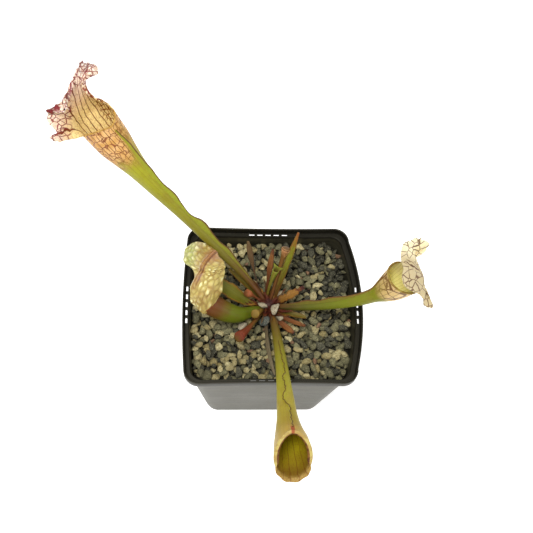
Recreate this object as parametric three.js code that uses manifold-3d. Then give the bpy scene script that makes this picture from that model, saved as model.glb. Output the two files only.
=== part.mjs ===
// Velvet pitcher plant in a square nursery pot, in millimetres, Z up, X to the right, Y to the back.
// The origin is the middle of the pot's underside.

import * as THREE from "three";
import { mergeVertices } from "three/addons/utils/BufferGeometryUtils.js";
import Module from "manifold-3d";

const wasm = await Module();
wasm.setup();

// Driving dimensions of the pot
const RIM_WIDTH = 90;
const POT_HEIGHT = 90;
const BASE_WIDTH = 70.7;
const SKIRT_HEIGHT = 5;
const SKIRT_WALL = 1;
const LEDGE_DROP = 4;
const WALL = 1.2;
const UNDER_LEDGE_WIDTH = 85.4;
const RIM_CORNER = 8;
const BULGE = { back: -0.5, left: 1.5, front: -0.6, right: 4.9 };
const CORNER_STEPS = 4;
const SIDE_STEPS = 4;
const SLOT = { count: 5, length: 3, pitch: 4.6, width: 1, from_centre: 43 };
const DRAIN = { radius: 4, ring: 21, count: 8, sides: 10 };

// Driving dimensions of what fills the pot
const CLEARANCE = 0.3;
const MIX_TOP = 69.5;
const GRIT_TOP = 79.4;
const INNER_LEVELS = [22, 46, MIX_TOP, GRIT_TOP];
const INNER_CORNER = 6.5;
const STONE_PITCH = 7.7;
const STONE_RADIUS = [3.4, 4.9];
const STONE_SEED = 20;

// Driving dimensions of the plant
const CROWN = { centre: [-0.5, 0.6, 79.6], radii: [5.6, 5.4, 5.4] };
const UP = new THREE.Vector3(0, 0, 1);

const COLOURS = {
  pot: [0x1d1e1d, 0.5],
  potting_mix: [0x3a2a1e, 0.95],
  grit: [0x8d8a78, 0.9],
  crown: [0x6b2a1c, 0.7],
  leaf: [0x93a52c, 0.5],
  tan: [0xb98a4a, 0.6],
  red: [0xa4472a, 0.6],
  dry: [0x6d4a2e, 0.8],
};

// Each pitcher: path is the four handles of its centre line, radii are [share of length, radius] pairs,
// oval stretches the mouth towards the upper side, and rim is [degrees round the mouth, lift along the
// tube], where 0 is the upper side and a minus lift lowers the lip. wing is the blade along the upper
// side as [share of length, height, lean in degrees], and lip is the rolled rim's half width, half
// height and shift inwards between lip_ends, in degrees. A hood's arcs are how far its foot reaches
// round the back of the mouth each way.
const PITCHERS = {
  pitcher_tall: {
    path: [[-2, 3, 82], [-20.5, 23.5, 102], [-57.5, 34.5, 135], [-83.8, 54.8, 174]],
    radii: [
      [0, 1.5], [0.2, 2], [0.32, 2.5], [0.45, 2.6], [0.6, 3], [0.72, 4.2],
      [0.8, 5.3], [0.86, 6.8], [0.92, 8.4], [1, 9.2],
    ],
    rim: [
      [-180, -1], [-105, -3.5], [-75, -2.8], [-45, -3], [-15, -4.3], [0, -5],
      [30, -3.5], [60, -1.5], [90, 0.5], [130, 0.5], [180, -1],
    ],
    upper: [0, 0, 1], oval: 1.05, sides: 14, steps: 12, hollow_from: 0.58,
    wing: [
      [0.12, 0.3, 60], [0.2, 1.2, 60], [0.27, 1.6, 60], [0.33, 2.6, 60], [0.38, 1.8, 60],
      [0.42, 2.2, 60], [0.49, 3.4, 60], [0.55, 1.2, 60], [0.6, 2, 60], [0.645, 3, 60],
      [0.7, 2, 60], [0.78, 2.5, 60], [0.85, 2, 50], [0.92, 1.6, 40], [0.985, 1, 20],
    ],
    lip: [0.45, 0.45, 0], lip_ends: [-105, 60], wall: 0.8, colour: "leaf",
    hood: {
      arcs: [1.3, 2.1], rows: 5, columns: 20, bow: [-1.2, 0.3], ruffle: 0.5, waves: 4, thickness: 0.9,
      waist: [
        [-92, 44.9, 173], [-93.3, 43.5, 175], [-94.1, 44.3, 176], [-94.1, 46.9, 177],
        [-94.7, 49.9, 178], [-94.2, 53.6, 179], [-93.9, 56.7, 180], [-93.2, 59.4, 181.5],
        [-91.8, 61, 183], [-90.7, 61.7, 184], [-89.7, 61.7, 185], [-88.8, 61.9, 185.5],
        [-88, 61.8, 186], [-87.3, 61.8, 186], [-86.8, 61.9, 185.5], [-86.3, 61.7, 184.5],
        [-85.3, 60.4, 183], [-82.2, 59.8, 181], [-77.5, 59.8, 178],
        [-80.5, 60.9, 178.5], [-77, 60.2, 177.2],
      ],
      margin: [
        [-93.5, 43.9, 174], [-96.9, 39.3, 177], [-101, 38.9, 180], [-97.8, 41.9, 180],
        [-101.5, 46, 183], [-101.8, 48.7, 184], [-95, 52.1, 183], [-94.5, 54.6, 184],
        [-92.1, 58.9, 187], [-90.6, 64.8, 190], [-90.4, 68.7, 191], [-88.4, 68.4, 189.5],
        [-89.2, 72.4, 191], [-85.8, 73.2, 191], [-82.8, 71.7, 189.5], [-83.2, 69.2, 187],
        [-86.7, 67, 187.5], [-86.6, 63.8, 186], [-84.6, 60.1, 183],
        [-80, 59.6, 181.5], [-77.3, 59.3, 178.8],
      ],
    },
  },
  pitcher_right: {
    path: [[3, 0.6, 82], [12.5, -4, 92], [50, -9, 102], [62.2, -6, 136]],
    radii: [
      [0, 1.5], [0.2, 1.9], [0.5, 2.4], [0.7, 3.3], [0.78, 3.9], [0.84, 5.6], [0.9, 7.2], [1, 8.8],
    ],
    rim: [[-180, 0], [0, -1.5], [180, 0]],
    upper: [-0.4, 0.1, 0.9], oval: 1.05, sides: 14, steps: 12, hollow_from: 0.66,
    wing: [
      [0.12, 0.3, -50], [0.25, 1.2, -50], [0.33, 2.2, -50], [0.42, 1.6, -50], [0.5, 2.4, -50],
      [0.6, 1.6, -50], [0.75, 1, -50], [0.9, 0.9, -40], [0.985, 0.6, -30],
    ],
    lip: [0.5, 0.55, 0], lip_ends: [-77, 148], wall: 0.8, colour: "leaf",
    hood: {
      arcs: [1.8, 0.55], rows: 5, columns: 18, bow: [0, 2.4], ruffle: 0.5, waves: 4, thickness: 0.9,
      margin: [
        [67.5, -1.2, 144], [70.4, 3.9, 145], [71.7, 6.8, 146], [67.2, 8.3, 148.5],
        [62.1, 6, 150], [58.8, 3.8, 150], [57.1, -2, 148.5], [57.8, -7.1, 148],
        [57.4, -11.7, 148], [58.1, -15.5, 147.5], [61, -17.8, 146], [66.5, -17.1, 140],
        [69, -18.9, 138], [69.6, -20.9, 136], [73.2, -20.8, 135], [70.4, -14.3, 137.5],
        [69, -9.8, 138.5],
      ],
    },
  },
  pitcher_front: {
    path: [[1, -3, 82], [6.2, -31, 92], [4.8, -58, 104], [5.6, -87.6, 130]],
    radii: [
      [0, 1.6], [0.25, 2.6], [0.45, 3.2], [0.65, 4.2], [0.8, 5.2], [0.9, 6.9], [0.96, 8.1], [1, 8.4],
    ],
    rim: [[-180, 2.7], [-90, 2.5], [-45, 1], [0, -1], [45, 1], [90, 2.5], [180, 2.7]],
    upper: [0, 0, 1], oval: 1.38, sides: 14, steps: 12, hollow_from: 0.58,
    wing: [
      [0.25, 0.3, 0], [0.4, 1.1, -10], [0.5, 1.3, -20], [0.55, 1.4, 20], [0.62, 1.4, 0],
      [0.71, 1.3, 60], [0.77, 1.2, -25], [0.83, 1.1, -20], [0.985, 0.6, -10],
    ],
    lip: [1.2, 0.85, 0.8], lip_ends: [-111, 111], wall: 0.8, colour: "leaf",
    hood: {
      arcs: [1.2, 1.2], rows: 3, columns: 10, bow: [-0.3, 0], ruffle: 0.3, waves: 4, thickness: 0.9,
      margin: [
        [14, -93.5, 129.6], [12.1, -96.3, 126.6], [9.3, -98.1, 124.6], [5.9, -98.8, 123.9],
        [2.5, -98.3, 124.6], [-0.4, -96.6, 126.6], [-2.4, -94, 129.6],
      ],
    },
  },
  pitcher_left: {
    path: [[-3, -1, 82.5], [-14.5, -4, 86], [-16, -11.5, 88], [-32.8, -4.5, 100]],
    radii: [[0, 1.7], [0.2, 2.7], [0.4, 3.6], [0.65, 4.9], [0.85, 5.6], [1, 5.9]],
    rim: [[-180, 0], [0, -0.5], [180, 0]],
    upper: [0, 0, 1], oval: 1.05, sides: 12, steps: 9, hollow_from: 0.6,
    wing: [], lip: [0.5, 0.5, 0], lip_ends: [-110, 110], wall: 0.8, lid: true, colour: "leaf",
  },
};

// The folded lid of the left pitcher, as rows of places across it from its foot to its far edge.
const LEFT_LID = [
  [[-40.3, -6.9, 103], [-37.5, -9.1, 101], [-34.7, -10.7, 99.5], [-31.4, -9.6, 101], [-28.8, -6.8, 103.5]],
  [[-41.5, -6.9, 112], [-37.9, -7.2, 114], [-33.9, -5.8, 116], [-29.5, -4.8, 115], [-25.6, -1.5, 110]],
  [[-40.1, 1.4, 113], [-37, 0.8, 118], [-33, 1, 119], [-28.6, 2.5, 117], [-24.6, 7, 112]],
  [[-39.6, 7.2, 112], [-36.1, 5.2, 117], [-32.8, 3.3, 121], [-28.9, 4.5, 119], [-24.3, 8.6, 114]],
  [[-44.7, 13.9, 108], [-40.3, 10.4, 114], [-35.6, 6.6, 121], [-30.1, 7.1, 120], [-24.7, 10.7, 115]],
  [[-45.5, 19.6, 107], [-42.1, 17.7, 112], [-37.8, 14.1, 118], [-33.3, 13.6, 118], [-27.8, 15.2, 115]],
  [[-43.6, 24.8, 106], [-40.9, 25.5, 108], [-37.7, 25.1, 110], [-34.1, 23.5, 111], [-30.4, 20.7, 112]],
];
const LID_THICKNESS = 0.9;
const LID_ROWS = 12;
const LID_COLUMNS = 8;

// Young and withered leaves round the crown. A pitcher has a small open mouth, a blade is flat.
const YOUNG_PITCHERS = {
  young_pitcher_back: {
    path: [[0.5, 3.4, 83], [3.3, 11.4, 93], [5.5, 18.3, 101], [7.9, 23, 107]],
    radii: [[0, 1.1], [0.6, 1], [0.85, 1.5], [1, 2.4]], colour: "tan",
  },
  young_pitcher_green: {
    path: [[-1.4, 4.6, 83], [-0.9, 7.9, 89], [1, 11.6, 94], [2.9, 14.5, 99]],
    radii: [[0, 0.8], [0.6, 0.9], [1, 1.7]], colour: "leaf", lobed: true,
  },
  young_pitcher_pink: {
    path: [[-3.9, 2.8, 83], [-6.7, 3.9, 86], [-9.6, 3.9, 90], [-12.4, 3.3, 94]],
    radii: [[0, 0.8], [0.65, 1], [0.85, 1.8], [1, 1.9]], colour: "red", closed: true,
  },
  young_pitcher_red: {
    path: [[-3.4, -3, 83], [-7.4, -8.8, 86], [-11.9, -15.8, 91], [-16.7, -22.1, 96]],
    radii: [[0, 1], [0.4, 1.1], [0.75, 1.8], [1, 2.8]], colour: "red",
  },
  young_pitcher_yellow: {
    path: [[-3.4, -1.3, 83], [-5.2, -3.7, 86], [-7, -6.4, 90], [-8.2, -8.2, 93]],
    radii: [[0, 1], [0.6, 1.5], [1, 2.2]], colour: "tan",
  },
};
const BLADES = {
  leaf_left: {
    path: [[-6.1, 0.5, 83], [-13.2, -0.4, 88.5], [-20.3, 3, 96], [-29, 5.6, 101]],
    widths: [[0, 1.1], [0.2, 1.5], [0.4, 2.8], [0.65, 4], [1, 3.8]], fold: 0.45, colour: "leaf",
  },
  leaf_back: {
    path: [[2.1, 4, 83], [6.4, 12.3, 95], [10.6, 21.1, 105], [14.2, 29.7, 113]],
    widths: [[0, 1.1], [0.4, 1.5], [0.75, 1.4], [1, 0.4]], fold: 0.6, colour: "leaf",
  },
  leaf_orange_brown: {
    path: [[-1.7, 5.8, 83], [-1.4, 10.4, 90], [-0.2, 17.4, 98], [1.4, 25.5, 102]],
    widths: [[0, 0.6], [0.4, 0.7], [0.7, 1.5], [1, 0.5]], fold: 0.4, colour: "red",
  },
  leaf_withered_tall: {
    path: [[-3.8, 5.8, 83], [-7.5, 11.4, 93], [-10.4, 17.7, 102], [-12.2, 27, 108]],
    widths: [[0, 0.5], [0.55, 0.5], [0.72, 1.3], [0.9, 1.3], [1, 0.5]], fold: 0.5, colour: "dry",
  },
  leaf_olive: {
    path: [[-4.4, 4, 83], [-9.4, 8.1, 87], [-14.4, 11.6, 91], [-22, 17.3, 94]],
    widths: [[0, 0.9], [0.4, 1.3], [0.75, 1.5], [1, 0.5]], fold: 0.4, colour: "tan",
  },
  leaf_golden: {
    path: [[2.6, 2.4, 83], [6.2, 2.8, 86], [10.9, 3.9, 89], [18.3, 7.9, 92]],
    widths: [[0, 0.8], [0.4, 2.2], [0.7, 2.4], [1, 0.7]], fold: 0.35, colour: "tan",
  },
  strap_upper: {
    path: [[2.8, -2.2, 83.5], [7.7, -4.2, 85.5], [13.5, -6, 86.5], [19.4, -7.4, 86.5]],
    widths: [[0, 0.9], [0.5, 1.3], [0.8, 1.3], [1, 0.7]], fold: 0.3, colour: "leaf",
  },
  strap_lower: {
    path: [[2.4, -3.6, 83], [7.2, -7.2, 84.6], [13, -10, 85.6], [18.9, -11.8, 85.2]],
    widths: [[0, 0.8], [0.5, 1.1], [0.8, 1.1], [1, 0.6]], fold: 0.3, colour: "leaf",
  },
  leaf_orange: {
    path: [[1.8, -4.4, 83], [4.9, -9, 84.2], [8.8, -13, 85.2], [12.6, -15.8, 85.2]],
    widths: [[0, 0.8], [0.5, 1.5], [0.8, 1.6], [1, 0.7]], fold: 0.3, colour: "red",
  },
  leaf_dry_front: {
    path: [[-1.8, -6, 83.4], [-2.4, -17.7, 84.8], [-1.2, -28.5, 84.9], [2, -38.8, 84.9]],
    widths: [[0, 0.6], [0.3, 0.9], [0.7, 1], [1, 0.5]], fold: 0.3, colour: "dry",
  },
};
const BLADE_THICKNESS = 0.8;
const BLADE_STEPS = 6;
const WING_STEPS = 15;
const LIP_STEPS = 10;
const HOOD_SEAT = 1.2;

function mulberry(seed) {
  let state = seed;
  return () => {
    state = (state + 0x6d2b79f5) | 0;
    let mixed = Math.imul(state ^ (state >>> 15), 1 | state);
    mixed = (mixed + Math.imul(mixed ^ (mixed >>> 7), 61 | mixed)) ^ mixed;
    return ((mixed ^ (mixed >>> 14)) >>> 0) / 4294967296;
  };
}

function solidFrom(points, faces) {
  const vertProperties = new Float32Array(points.flatMap((p) => [p.x, p.y, p.z]));
  const triVerts = new Uint32Array(faces.flat());
  return new wasm.Manifold(new wasm.Mesh({ numProp: 3, vertProperties, triVerts }));
}

function solidOfGeometry(geometry) {
  const bare = new THREE.BufferGeometry();
  const loose = geometry.index ? geometry.toNonIndexed() : geometry;
  bare.setAttribute("position", loose.getAttribute("position"));
  const merged = mergeVertices(bare, 1e-4);
  const vertProperties = merged.getAttribute("position").array;
  const triVerts = new Uint32Array(merged.index.array);
  return new wasm.Manifold(new wasm.Mesh({ numProp: 3, vertProperties, triVerts }));
}

// Rings run anticlockwise round the direction of travel. Both ends are closed with a fan.
function loftSolid(rings) {
  const count = rings[0].length;
  const points = rings.flat();
  const faces = [];
  for (let i = 0; i + 1 < rings.length; i++) {
    for (let j = 0; j < count; j++) {
      const next = (j + 1) % count;
      const a = i * count + j;
      const b = i * count + next;
      const c = (i + 1) * count + next;
      const d = (i + 1) * count + j;
      faces.push([a, b, c], [a, c, d]);
    }
  }
  const middle = (ring) =>
    ring.reduce((sum, p) => sum.add(p), new THREE.Vector3()).divideScalar(ring.length);
  const start = points.push(middle(rings[0])) - 1;
  const end = points.push(middle(rings.at(-1))) - 1;
  const last = (rings.length - 1) * count;
  for (let j = 0; j < count; j++) {
    const next = (j + 1) % count;
    faces.push([start, next, j], [end, last + j, last + next]);
  }
  return solidFrom(points, faces);
}

// A sheet of even thickness on a grid of places, split the same way on both faces.
function sheetSolid(grid, thickness) {
  const rows = grid.length;
  const columns = grid[0].length;
  const normalAt = (i, j) => {
    const along = grid[Math.min(i + 1, rows - 1)][j].clone().sub(grid[Math.max(i - 1, 0)][j]);
    const across = grid[i][Math.min(j + 1, columns - 1)].clone().sub(grid[i][Math.max(j - 1, 0)]);
    return along.cross(across).normalize();
  };
  const points = [];
  for (const side of [0.5, -0.5]) {
    for (let i = 0; i < rows; i++) {
      for (let j = 0; j < columns; j++) {
        points.push(grid[i][j].clone().addScaledVector(normalAt(i, j), side * thickness));
      }
    }
  }
  const below = rows * columns;
  const faces = [];
  for (let i = 0; i + 1 < rows; i++) {
    for (let j = 0; j + 1 < columns; j++) {
      const a = i * columns + j;
      const b = a + columns;
      const c = b + 1;
      const d = a + 1;
      faces.push([a, b, c], [a, c, d]);
      faces.push([a + below, c + below, b + below], [a + below, d + below, c + below]);
    }
  }
  const edge = [];
  for (let j = 0; j + 1 < columns; j++) edge.push(j);
  for (let i = 0; i + 1 < rows; i++) edge.push(i * columns + columns - 1);
  for (let j = columns - 1; j > 0; j--) edge.push((rows - 1) * columns + j);
  for (let i = rows - 1; i > 0; i--) edge.push(i * columns);
  edge.forEach((a, k) => {
    const b = edge[(k + 1) % edge.length];
    faces.push([a, b, b + below], [a, b + below, a + below]);
  });
  return solidFrom(points, faces);
}

function valueAt(pairs, t) {
  if (t <= pairs[0][0]) return pairs[0][1];
  for (let i = 1; i < pairs.length; i++) {
    const [t0, v0] = pairs[i - 1];
    const [t1, v1] = pairs[i];
    if (t <= t1) return v0 + ((v1 - v0) * (t - t0)) / (t1 - t0);
  }
  return pairs.at(-1)[1];
}

const smooth = (low, high, t) => THREE.MathUtils.smoothstep(t, low, high);
const vector = (p) => new THREE.Vector3(...p);
const centreLine = (path) => new THREE.CubicBezierCurve3(...path.map(vector));

// The centre line's place and its three directions: along it, towards its upper side and across it.
function frameAt(curve, t, hint) {
  const place = curve.getPoint(t);
  const along = curve.getTangent(t);
  const towards = hint ? vector(hint) : UP.clone();
  const upper = towards.addScaledVector(along, -towards.dot(along)).normalize();
  const across = along.clone().cross(upper);
  return { place, along, upper, across };
}

// A place on a pitcher's wall. The angle is 0 on the upper side, where the front lip is.
function wallPoint(pitcher, curve, t, angle, inset = 0) {
  const { place, along, upper, across } = frameAt(curve, t, pitcher.upper);
  const radius = valueAt(pitcher.radii, t) - inset;
  const late = smooth(0.7, 1, t);
  const oval = 1 + (pitcher.oval - 1) * late;
  const degrees = THREE.MathUtils.euclideanModulo(THREE.MathUtils.radToDeg(angle) + 180, 360) - 180;
  return place
    .addScaledVector(upper, radius * oval * Math.cos(angle))
    .addScaledVector(across, radius * Math.sin(angle))
    .addScaledVector(along, valueAt(pitcher.rim, degrees) * late);
}

// The way that the wall runs where it ends at the rim.
function wallDirection(pitcher, curve, angle, inset) {
  const rim = wallPoint(pitcher, curve, 1, angle, inset);
  return rim.sub(wallPoint(pitcher, curve, 0.97, angle, inset)).normalize();
}

function wallRing(pitcher, curve, t, sides, inset = 0) {
  const ring = [];
  for (let j = 0; j < sides; j++) {
    ring.push(wallPoint(pitcher, curve, t, (j / sides) * 2 * Math.PI, inset));
  }
  return ring;
}

function tubeBody(pitcher, curve) {
  const rings = [];
  for (let i = 0; i <= pitcher.steps; i++) {
    rings.push(wallRing(pitcher, curve, i / pitcher.steps, pitcher.sides));
  }
  return loftSolid(rings);
}

// The hollow of a pitcher, carried on past the mouth so that it opens it.
function tubeHollow(pitcher, curve, wall) {
  const steps = Math.ceil(pitcher.steps * (1 - pitcher.hollow_from));
  const rings = [];
  for (let i = 0; i <= steps; i++) {
    const t = pitcher.hollow_from + ((1 - pitcher.hollow_from) * i) / steps;
    rings.push(wallRing(pitcher, curve, t, pitcher.sides, wall));
  }
  const { along } = frameAt(curve, 1);
  rings.push(rings.at(-1).map((p) => p.clone().addScaledVector(along, 2)));
  return loftSolid(rings);
}

// A rolled lip round the open part of the mouth, from one side of the hood's foot to the other.
function lipRoll(pitcher, curve, grow) {
  const [first, last] = pitcher.lip_ends.map(THREE.MathUtils.degToRad);
  const [width, height, inward] = pitcher.lip;
  const { along } = frameAt(curve, 1);
  const rings = [];
  for (let i = 0; i <= LIP_STEPS; i++) {
    const angle = first + ((last - first) * i) / LIP_STEPS;
    const inset = 0.2 + inward;
    const centre = wallPoint(pitcher, curve, 1, angle, inset);
    const travel = wallPoint(pitcher, curve, 1, angle + 0.05, inset).sub(centre).normalize();
    const out = travel.clone().cross(along).normalize();
    const side = travel.clone().cross(out).normalize();
    const ring = [];
    for (let k = 0; k < 6; k++) {
      const turn = (k / 6) * 2 * Math.PI;
      ring.push(
        centre
          .clone()
          .addScaledVector(out, (width + grow) * Math.cos(turn))
          .addScaledVector(side, (height + grow) * Math.sin(turn)),
      );
    }
    rings.push(ring);
  }
  return loftSolid(rings);
}

// The scalloped wing that runs up the pitcher's upper side and leans as its table says.
function wingSolid(pitcher, curve, grow) {
  const heights = pitcher.wing.map(([t, height]) => [t, height]);
  const leans = pitcher.wing.map(([t, , lean]) => [t, lean]);
  const from = heights[0][0];
  const to = heights.at(-1)[0];
  const grid = [];
  for (let i = 0; i <= WING_STEPS; i++) {
    const t = from + ((to - from) * i) / WING_STEPS;
    const { upper, across } = frameAt(curve, t, pitcher.upper);
    const lean = THREE.MathUtils.degToRad(valueAt(leans, t));
    const way = upper.multiplyScalar(Math.cos(lean)).addScaledVector(across, Math.sin(lean));
    const foot = wallPoint(pitcher, curve, t, 0, 0.7);
    const height = valueAt(heights, t) + 0.7;
    grid.push([0, 0.5, 1].map((share) => foot.clone().addScaledVector(way, height * share)));
  }
  return sheetSolid(grid, BLADE_THICKNESS + 2 * grow);
}

// The hood rises from the back of the mouth, in the wall's own direction, and bends over to a margin
// that is given as places from side to side. A waist is the places that it passes halfway, and its bow
// moves the middle towards the upper side and along the tube. At both ends it runs into the rim.
function hoodSolid(pitcher, curve, grow) {
  const hood = pitcher.hood;
  const { along, upper } = frameAt(curve, 1, pitcher.upper);
  const margin = hood.margin.map((p) => (p.isVector3 ? p : vector(p)));
  const waist = hood.waist && hood.waist.map(vector);
  const grid = Array.from({ length: hood.rows + 1 }, () => []);
  for (let j = 0; j <= hood.columns; j++) {
    const v = (2 * j) / hood.columns - 1;
    const angle = Math.PI - v * hood.arcs[v < 0 ? 0 : 1];
    const ends = smooth(0, 0.12, 1 - Math.abs(v));
    const rim = wallPoint(pitcher, curve, 1, angle, 0.4);
    const foot = rim.clone().addScaledVector(along, -HOOD_SEAT);
    const end = rim.clone().lerp(placeAlong(margin, j / hood.columns), ends);
    const middle = foot.clone().lerp(end, 0.5);
    if (waist) middle.lerp(placeAlong(waist, j / hood.columns), ends);
    const bow = (1 - 0.6 * v * v) * ends;
    middle.addScaledVector(upper, hood.bow[0] * bow).addScaledVector(along, hood.bow[1] * bow);
    const lead = foot
      .clone()
      .addScaledVector(wallDirection(pitcher, curve, angle, 0.4), 0.3 * end.distanceTo(foot));
    const follow = middle
      .multiplyScalar(8)
      .sub(foot)
      .addScaledVector(lead, -3)
      .sub(end)
      .divideScalar(3);
    const column = new THREE.CubicBezierCurve3(foot, lead, follow, end);
    for (let i = 0; i <= hood.rows; i++) {
      const s = i / hood.rows;
      const ruffle = hood.ruffle * s * s * Math.sin(v * hood.waves * Math.PI + 0.7) * ends;
      grid[i].push(column.getPoint(s).addScaledVector(upper, ruffle));
    }
  }
  return sheetSolid(grid, hood.thickness + 2 * grow);
}

// A place on the smooth curve through a list of places.
function placeAlong(places, t) {
  return new THREE.CatmullRomCurve3(places, false, "catmullrom", 0.5).getPoint(t);
}

function lidSolid(grow) {
  const net = LEFT_LID.map((row) => row.map(vector));
  const grid = [];
  for (let i = 0; i <= LID_ROWS; i++) {
    const row = [];
    for (let j = 0; j <= LID_COLUMNS; j++) {
      const across = net.map((line) => placeAlong(line, j / LID_COLUMNS));
      row.push(placeAlong(across, i / LID_ROWS));
    }
    grid.push(row);
  }
  return sheetSolid(grid, LID_THICKNESS + 2 * grow);
}

// A pitcher with all that grows on it. With a growth it is the filled shape that others keep clear of.
function pitcherSolid(pitcher, grow) {
  const shape = grow ? grown(pitcher) : pitcher;
  const curve = centreLine(pitcher.path);
  let solid = tubeBody(shape, curve);
  if (pitcher.wing.length) solid = solid.add(wingSolid(pitcher, curve, grow));
  if (!grow) solid = solid.subtract(tubeHollow(pitcher, curve, pitcher.wall));
  if (pitcher.lip) solid = solid.add(lipRoll(pitcher, curve, grow));
  if (pitcher.hood) solid = solid.add(hoodSolid(pitcher, curve, grow));
  if (pitcher.lid) solid = solid.add(lidSolid(grow));
  return solid;
}

// The little hood of a young pitcher stands as high as its mouth is wide, with two points if lobed.
// A closed one lies over the mouth.
function smallMargin(leaf, curve) {
  const { along, upper, across } = frameAt(curve, 1);
  const mouth = leaf.radii.at(-1)[1];
  const back = wallPoint(leaf, curve, 1, Math.PI);
  return [-1, -0.6, 0, 0.6, 1].map((v) => {
    const wide = mouth * (leaf.lobed ? 1.9 : 1.05) * v;
    const tall = mouth * (leaf.lobed ? 0.9 + 0.5 * Math.abs(v) : 1.3 * (1 - 0.7 * v * v));
    const high = leaf.closed ? mouth * 0.3 : tall;
    const over = leaf.closed ? mouth * (2 - 0.8 * v * v) : 0.5;
    return back
      .clone()
      .addScaledVector(across, wide)
      .addScaledVector(along, high)
      .addScaledVector(upper, over);
  });
}

function youngPitcher(leaf) {
  const pitcher = {
    oval: 1.1, rim: [[-180, 0], [0, -0.5], [180, 0]], sides: 9, steps: 6, hollow_from: 0.72, wall: 0.65,
    wing: [], ...leaf,
  };
  const curve = centreLine(pitcher.path);
  pitcher.hood = {
    arcs: [1.2, 1.2], rows: 3, columns: 6, bow: [0, leaf.closed ? 0.9 : 0], ruffle: 0, waves: 0,
    thickness: 0.65,
    margin: smallMargin(pitcher, curve),
  };
  return pitcher;
}

// A flat leaf, folded up along its middle like a shallow gutter.
function bladeSolid(leaf, grow) {
  const curve = centreLine(leaf.path);
  const grid = [];
  for (let i = 0; i <= BLADE_STEPS; i++) {
    const t = i / BLADE_STEPS;
    const { place, upper, across } = frameAt(curve, t);
    const half = valueAt(leaf.widths, t);
    const row = [];
    for (const side of [-1, -0.5, 0, 0.5, 1]) {
      const lift = leaf.fold * half * side * side;
      row.push(place.clone().addScaledVector(across, side * half).addScaledVector(upper, lift));
    }
    grid.push(row);
  }
  return sheetSolid(grid, BLADE_THICKNESS + 2 * grow);
}

// A rounded square at one height, with each side's bulge growing from nothing at the base.
function potOutline(half, corner, z) {
  const share = z / POT_HEIGHT;
  const sides = [BULGE.back, BULGE.left, BULGE.front, BULGE.right];
  const straight = half - corner;
  const ring = [];
  sides.forEach((bulge, k) => {
    const turn = (k * Math.PI) / 2;
    const place = (x, y) =>
      new THREE.Vector3(
        x * Math.cos(turn) - y * Math.sin(turn),
        x * Math.sin(turn) + y * Math.cos(turn),
        z,
      );
    for (let i = 0; i <= CORNER_STEPS; i++) {
      const angle = (i / CORNER_STEPS) * (Math.PI / 2);
      ring.push(place(straight + corner * Math.cos(angle), straight + corner * Math.sin(angle)));
    }
    for (let i = 1; i < SIDE_STEPS; i++) {
      const w = 1 - (2 * i) / SIDE_STEPS;
      ring.push(place(straight * w, half + bulge * share * (1 - w * w)));
    }
  });
  return ring;
}

const wallHalf = (z) =>
  THREE.MathUtils.mapLinear(z, 0, POT_HEIGHT - SKIRT_HEIGHT, BASE_WIDTH / 2, UNDER_LEDGE_WIDTH / 2);

// What fills the pot between two heights, clear of the wall. Every fill shares the same levels.
function innerFill(low, high, clearance) {
  const between = INNER_LEVELS.filter((z) => z > low + CLEARANCE && z < high - CLEARANCE);
  const heights = [low, ...between, high];
  return loftSolid(heights.map((z) => potOutline(wallHalf(z) - WALL - clearance, INNER_CORNER, z)));
}

function potSolid() {
  const half = RIM_WIDTH / 2;
  const skirt_foot = POT_HEIGHT - SKIRT_HEIGHT;
  const ledge = POT_HEIGHT - LEDGE_DROP;
  const edge = 0.4;
  const outside = loftSolid([
    potOutline(wallHalf(0) - edge, RIM_CORNER, 0),
    potOutline(wallHalf(0), RIM_CORNER, 2 * edge),
    ...INNER_LEVELS.map((z) => potOutline(wallHalf(z), RIM_CORNER, z)),
    potOutline(wallHalf(skirt_foot), RIM_CORNER, skirt_foot),
    potOutline(half, RIM_CORNER, skirt_foot),
    potOutline(half, RIM_CORNER, POT_HEIGHT - edge),
    potOutline(half - edge, RIM_CORNER - edge, POT_HEIGHT),
  ]);
  const recess = loftSolid(
    [ledge, POT_HEIGHT + 1].map((z) =>
      potOutline(half - SKIRT_WALL, RIM_CORNER - SKIRT_WALL, z),
    ),
  );
  let pot = outside.subtract(recess).subtract(innerFill(WALL, ledge + 0.5, 0));
  const bulges = [BULGE.right, BULGE.back, BULGE.left, BULGE.front];
  const share = ledge / POT_HEIGHT;
  bulges.forEach((bulge, side) => {
    for (let i = 0; i < SLOT.count; i++) {
      const step = (i - (SLOT.count - 1) / 2) * SLOT.pitch;
      const w = step / (half - RIM_CORNER);
      const out = SLOT.from_centre + bulge * share * (1 - w * w);
      const box = new THREE.BoxGeometry(SLOT.width, SLOT.length, 4);
      box.translate(out, step, skirt_foot).rotateZ((side * Math.PI) / 2);
      pot = pot.subtract(solidOfGeometry(box));
    }
  });
  for (let i = 0; i < DRAIN.count; i++) {
    const angle = ((i + 0.5) / DRAIN.count) * 2 * Math.PI;
    const hole = new THREE.CylinderGeometry(DRAIN.radius, DRAIN.radius, 6, DRAIN.sides);
    hole.rotateX(Math.PI / 2).translate(DRAIN.ring * Math.cos(angle), DRAIN.ring * Math.sin(angle), 0);
    pot = pot.subtract(solidOfGeometry(hole));
  }
  return pot;
}

const mixSolid = () => innerFill(WALL + CLEARANCE, MIX_TOP, CLEARANCE);

function lumpSolid(centre, radii, detail, roughness, random) {
  const lump = new THREE.IcosahedronGeometry(1, detail);
  lump.deleteAttribute("normal");
  lump.deleteAttribute("uv");
  const merged = mergeVertices(lump, 1e-4);
  const places = merged.getAttribute("position");
  for (let i = 0; i < places.count; i++) {
    const stretch = 1 + roughness * (random() * 2 - 1);
    places.setXYZ(i, places.getX(i) * stretch, places.getY(i) * stretch, places.getZ(i) * stretch);
  }
  merged.scale(...radii);
  merged.rotateZ(random() * Math.PI);
  merged.translate(...centre);
  return solidOfGeometry(merged);
}

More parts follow.
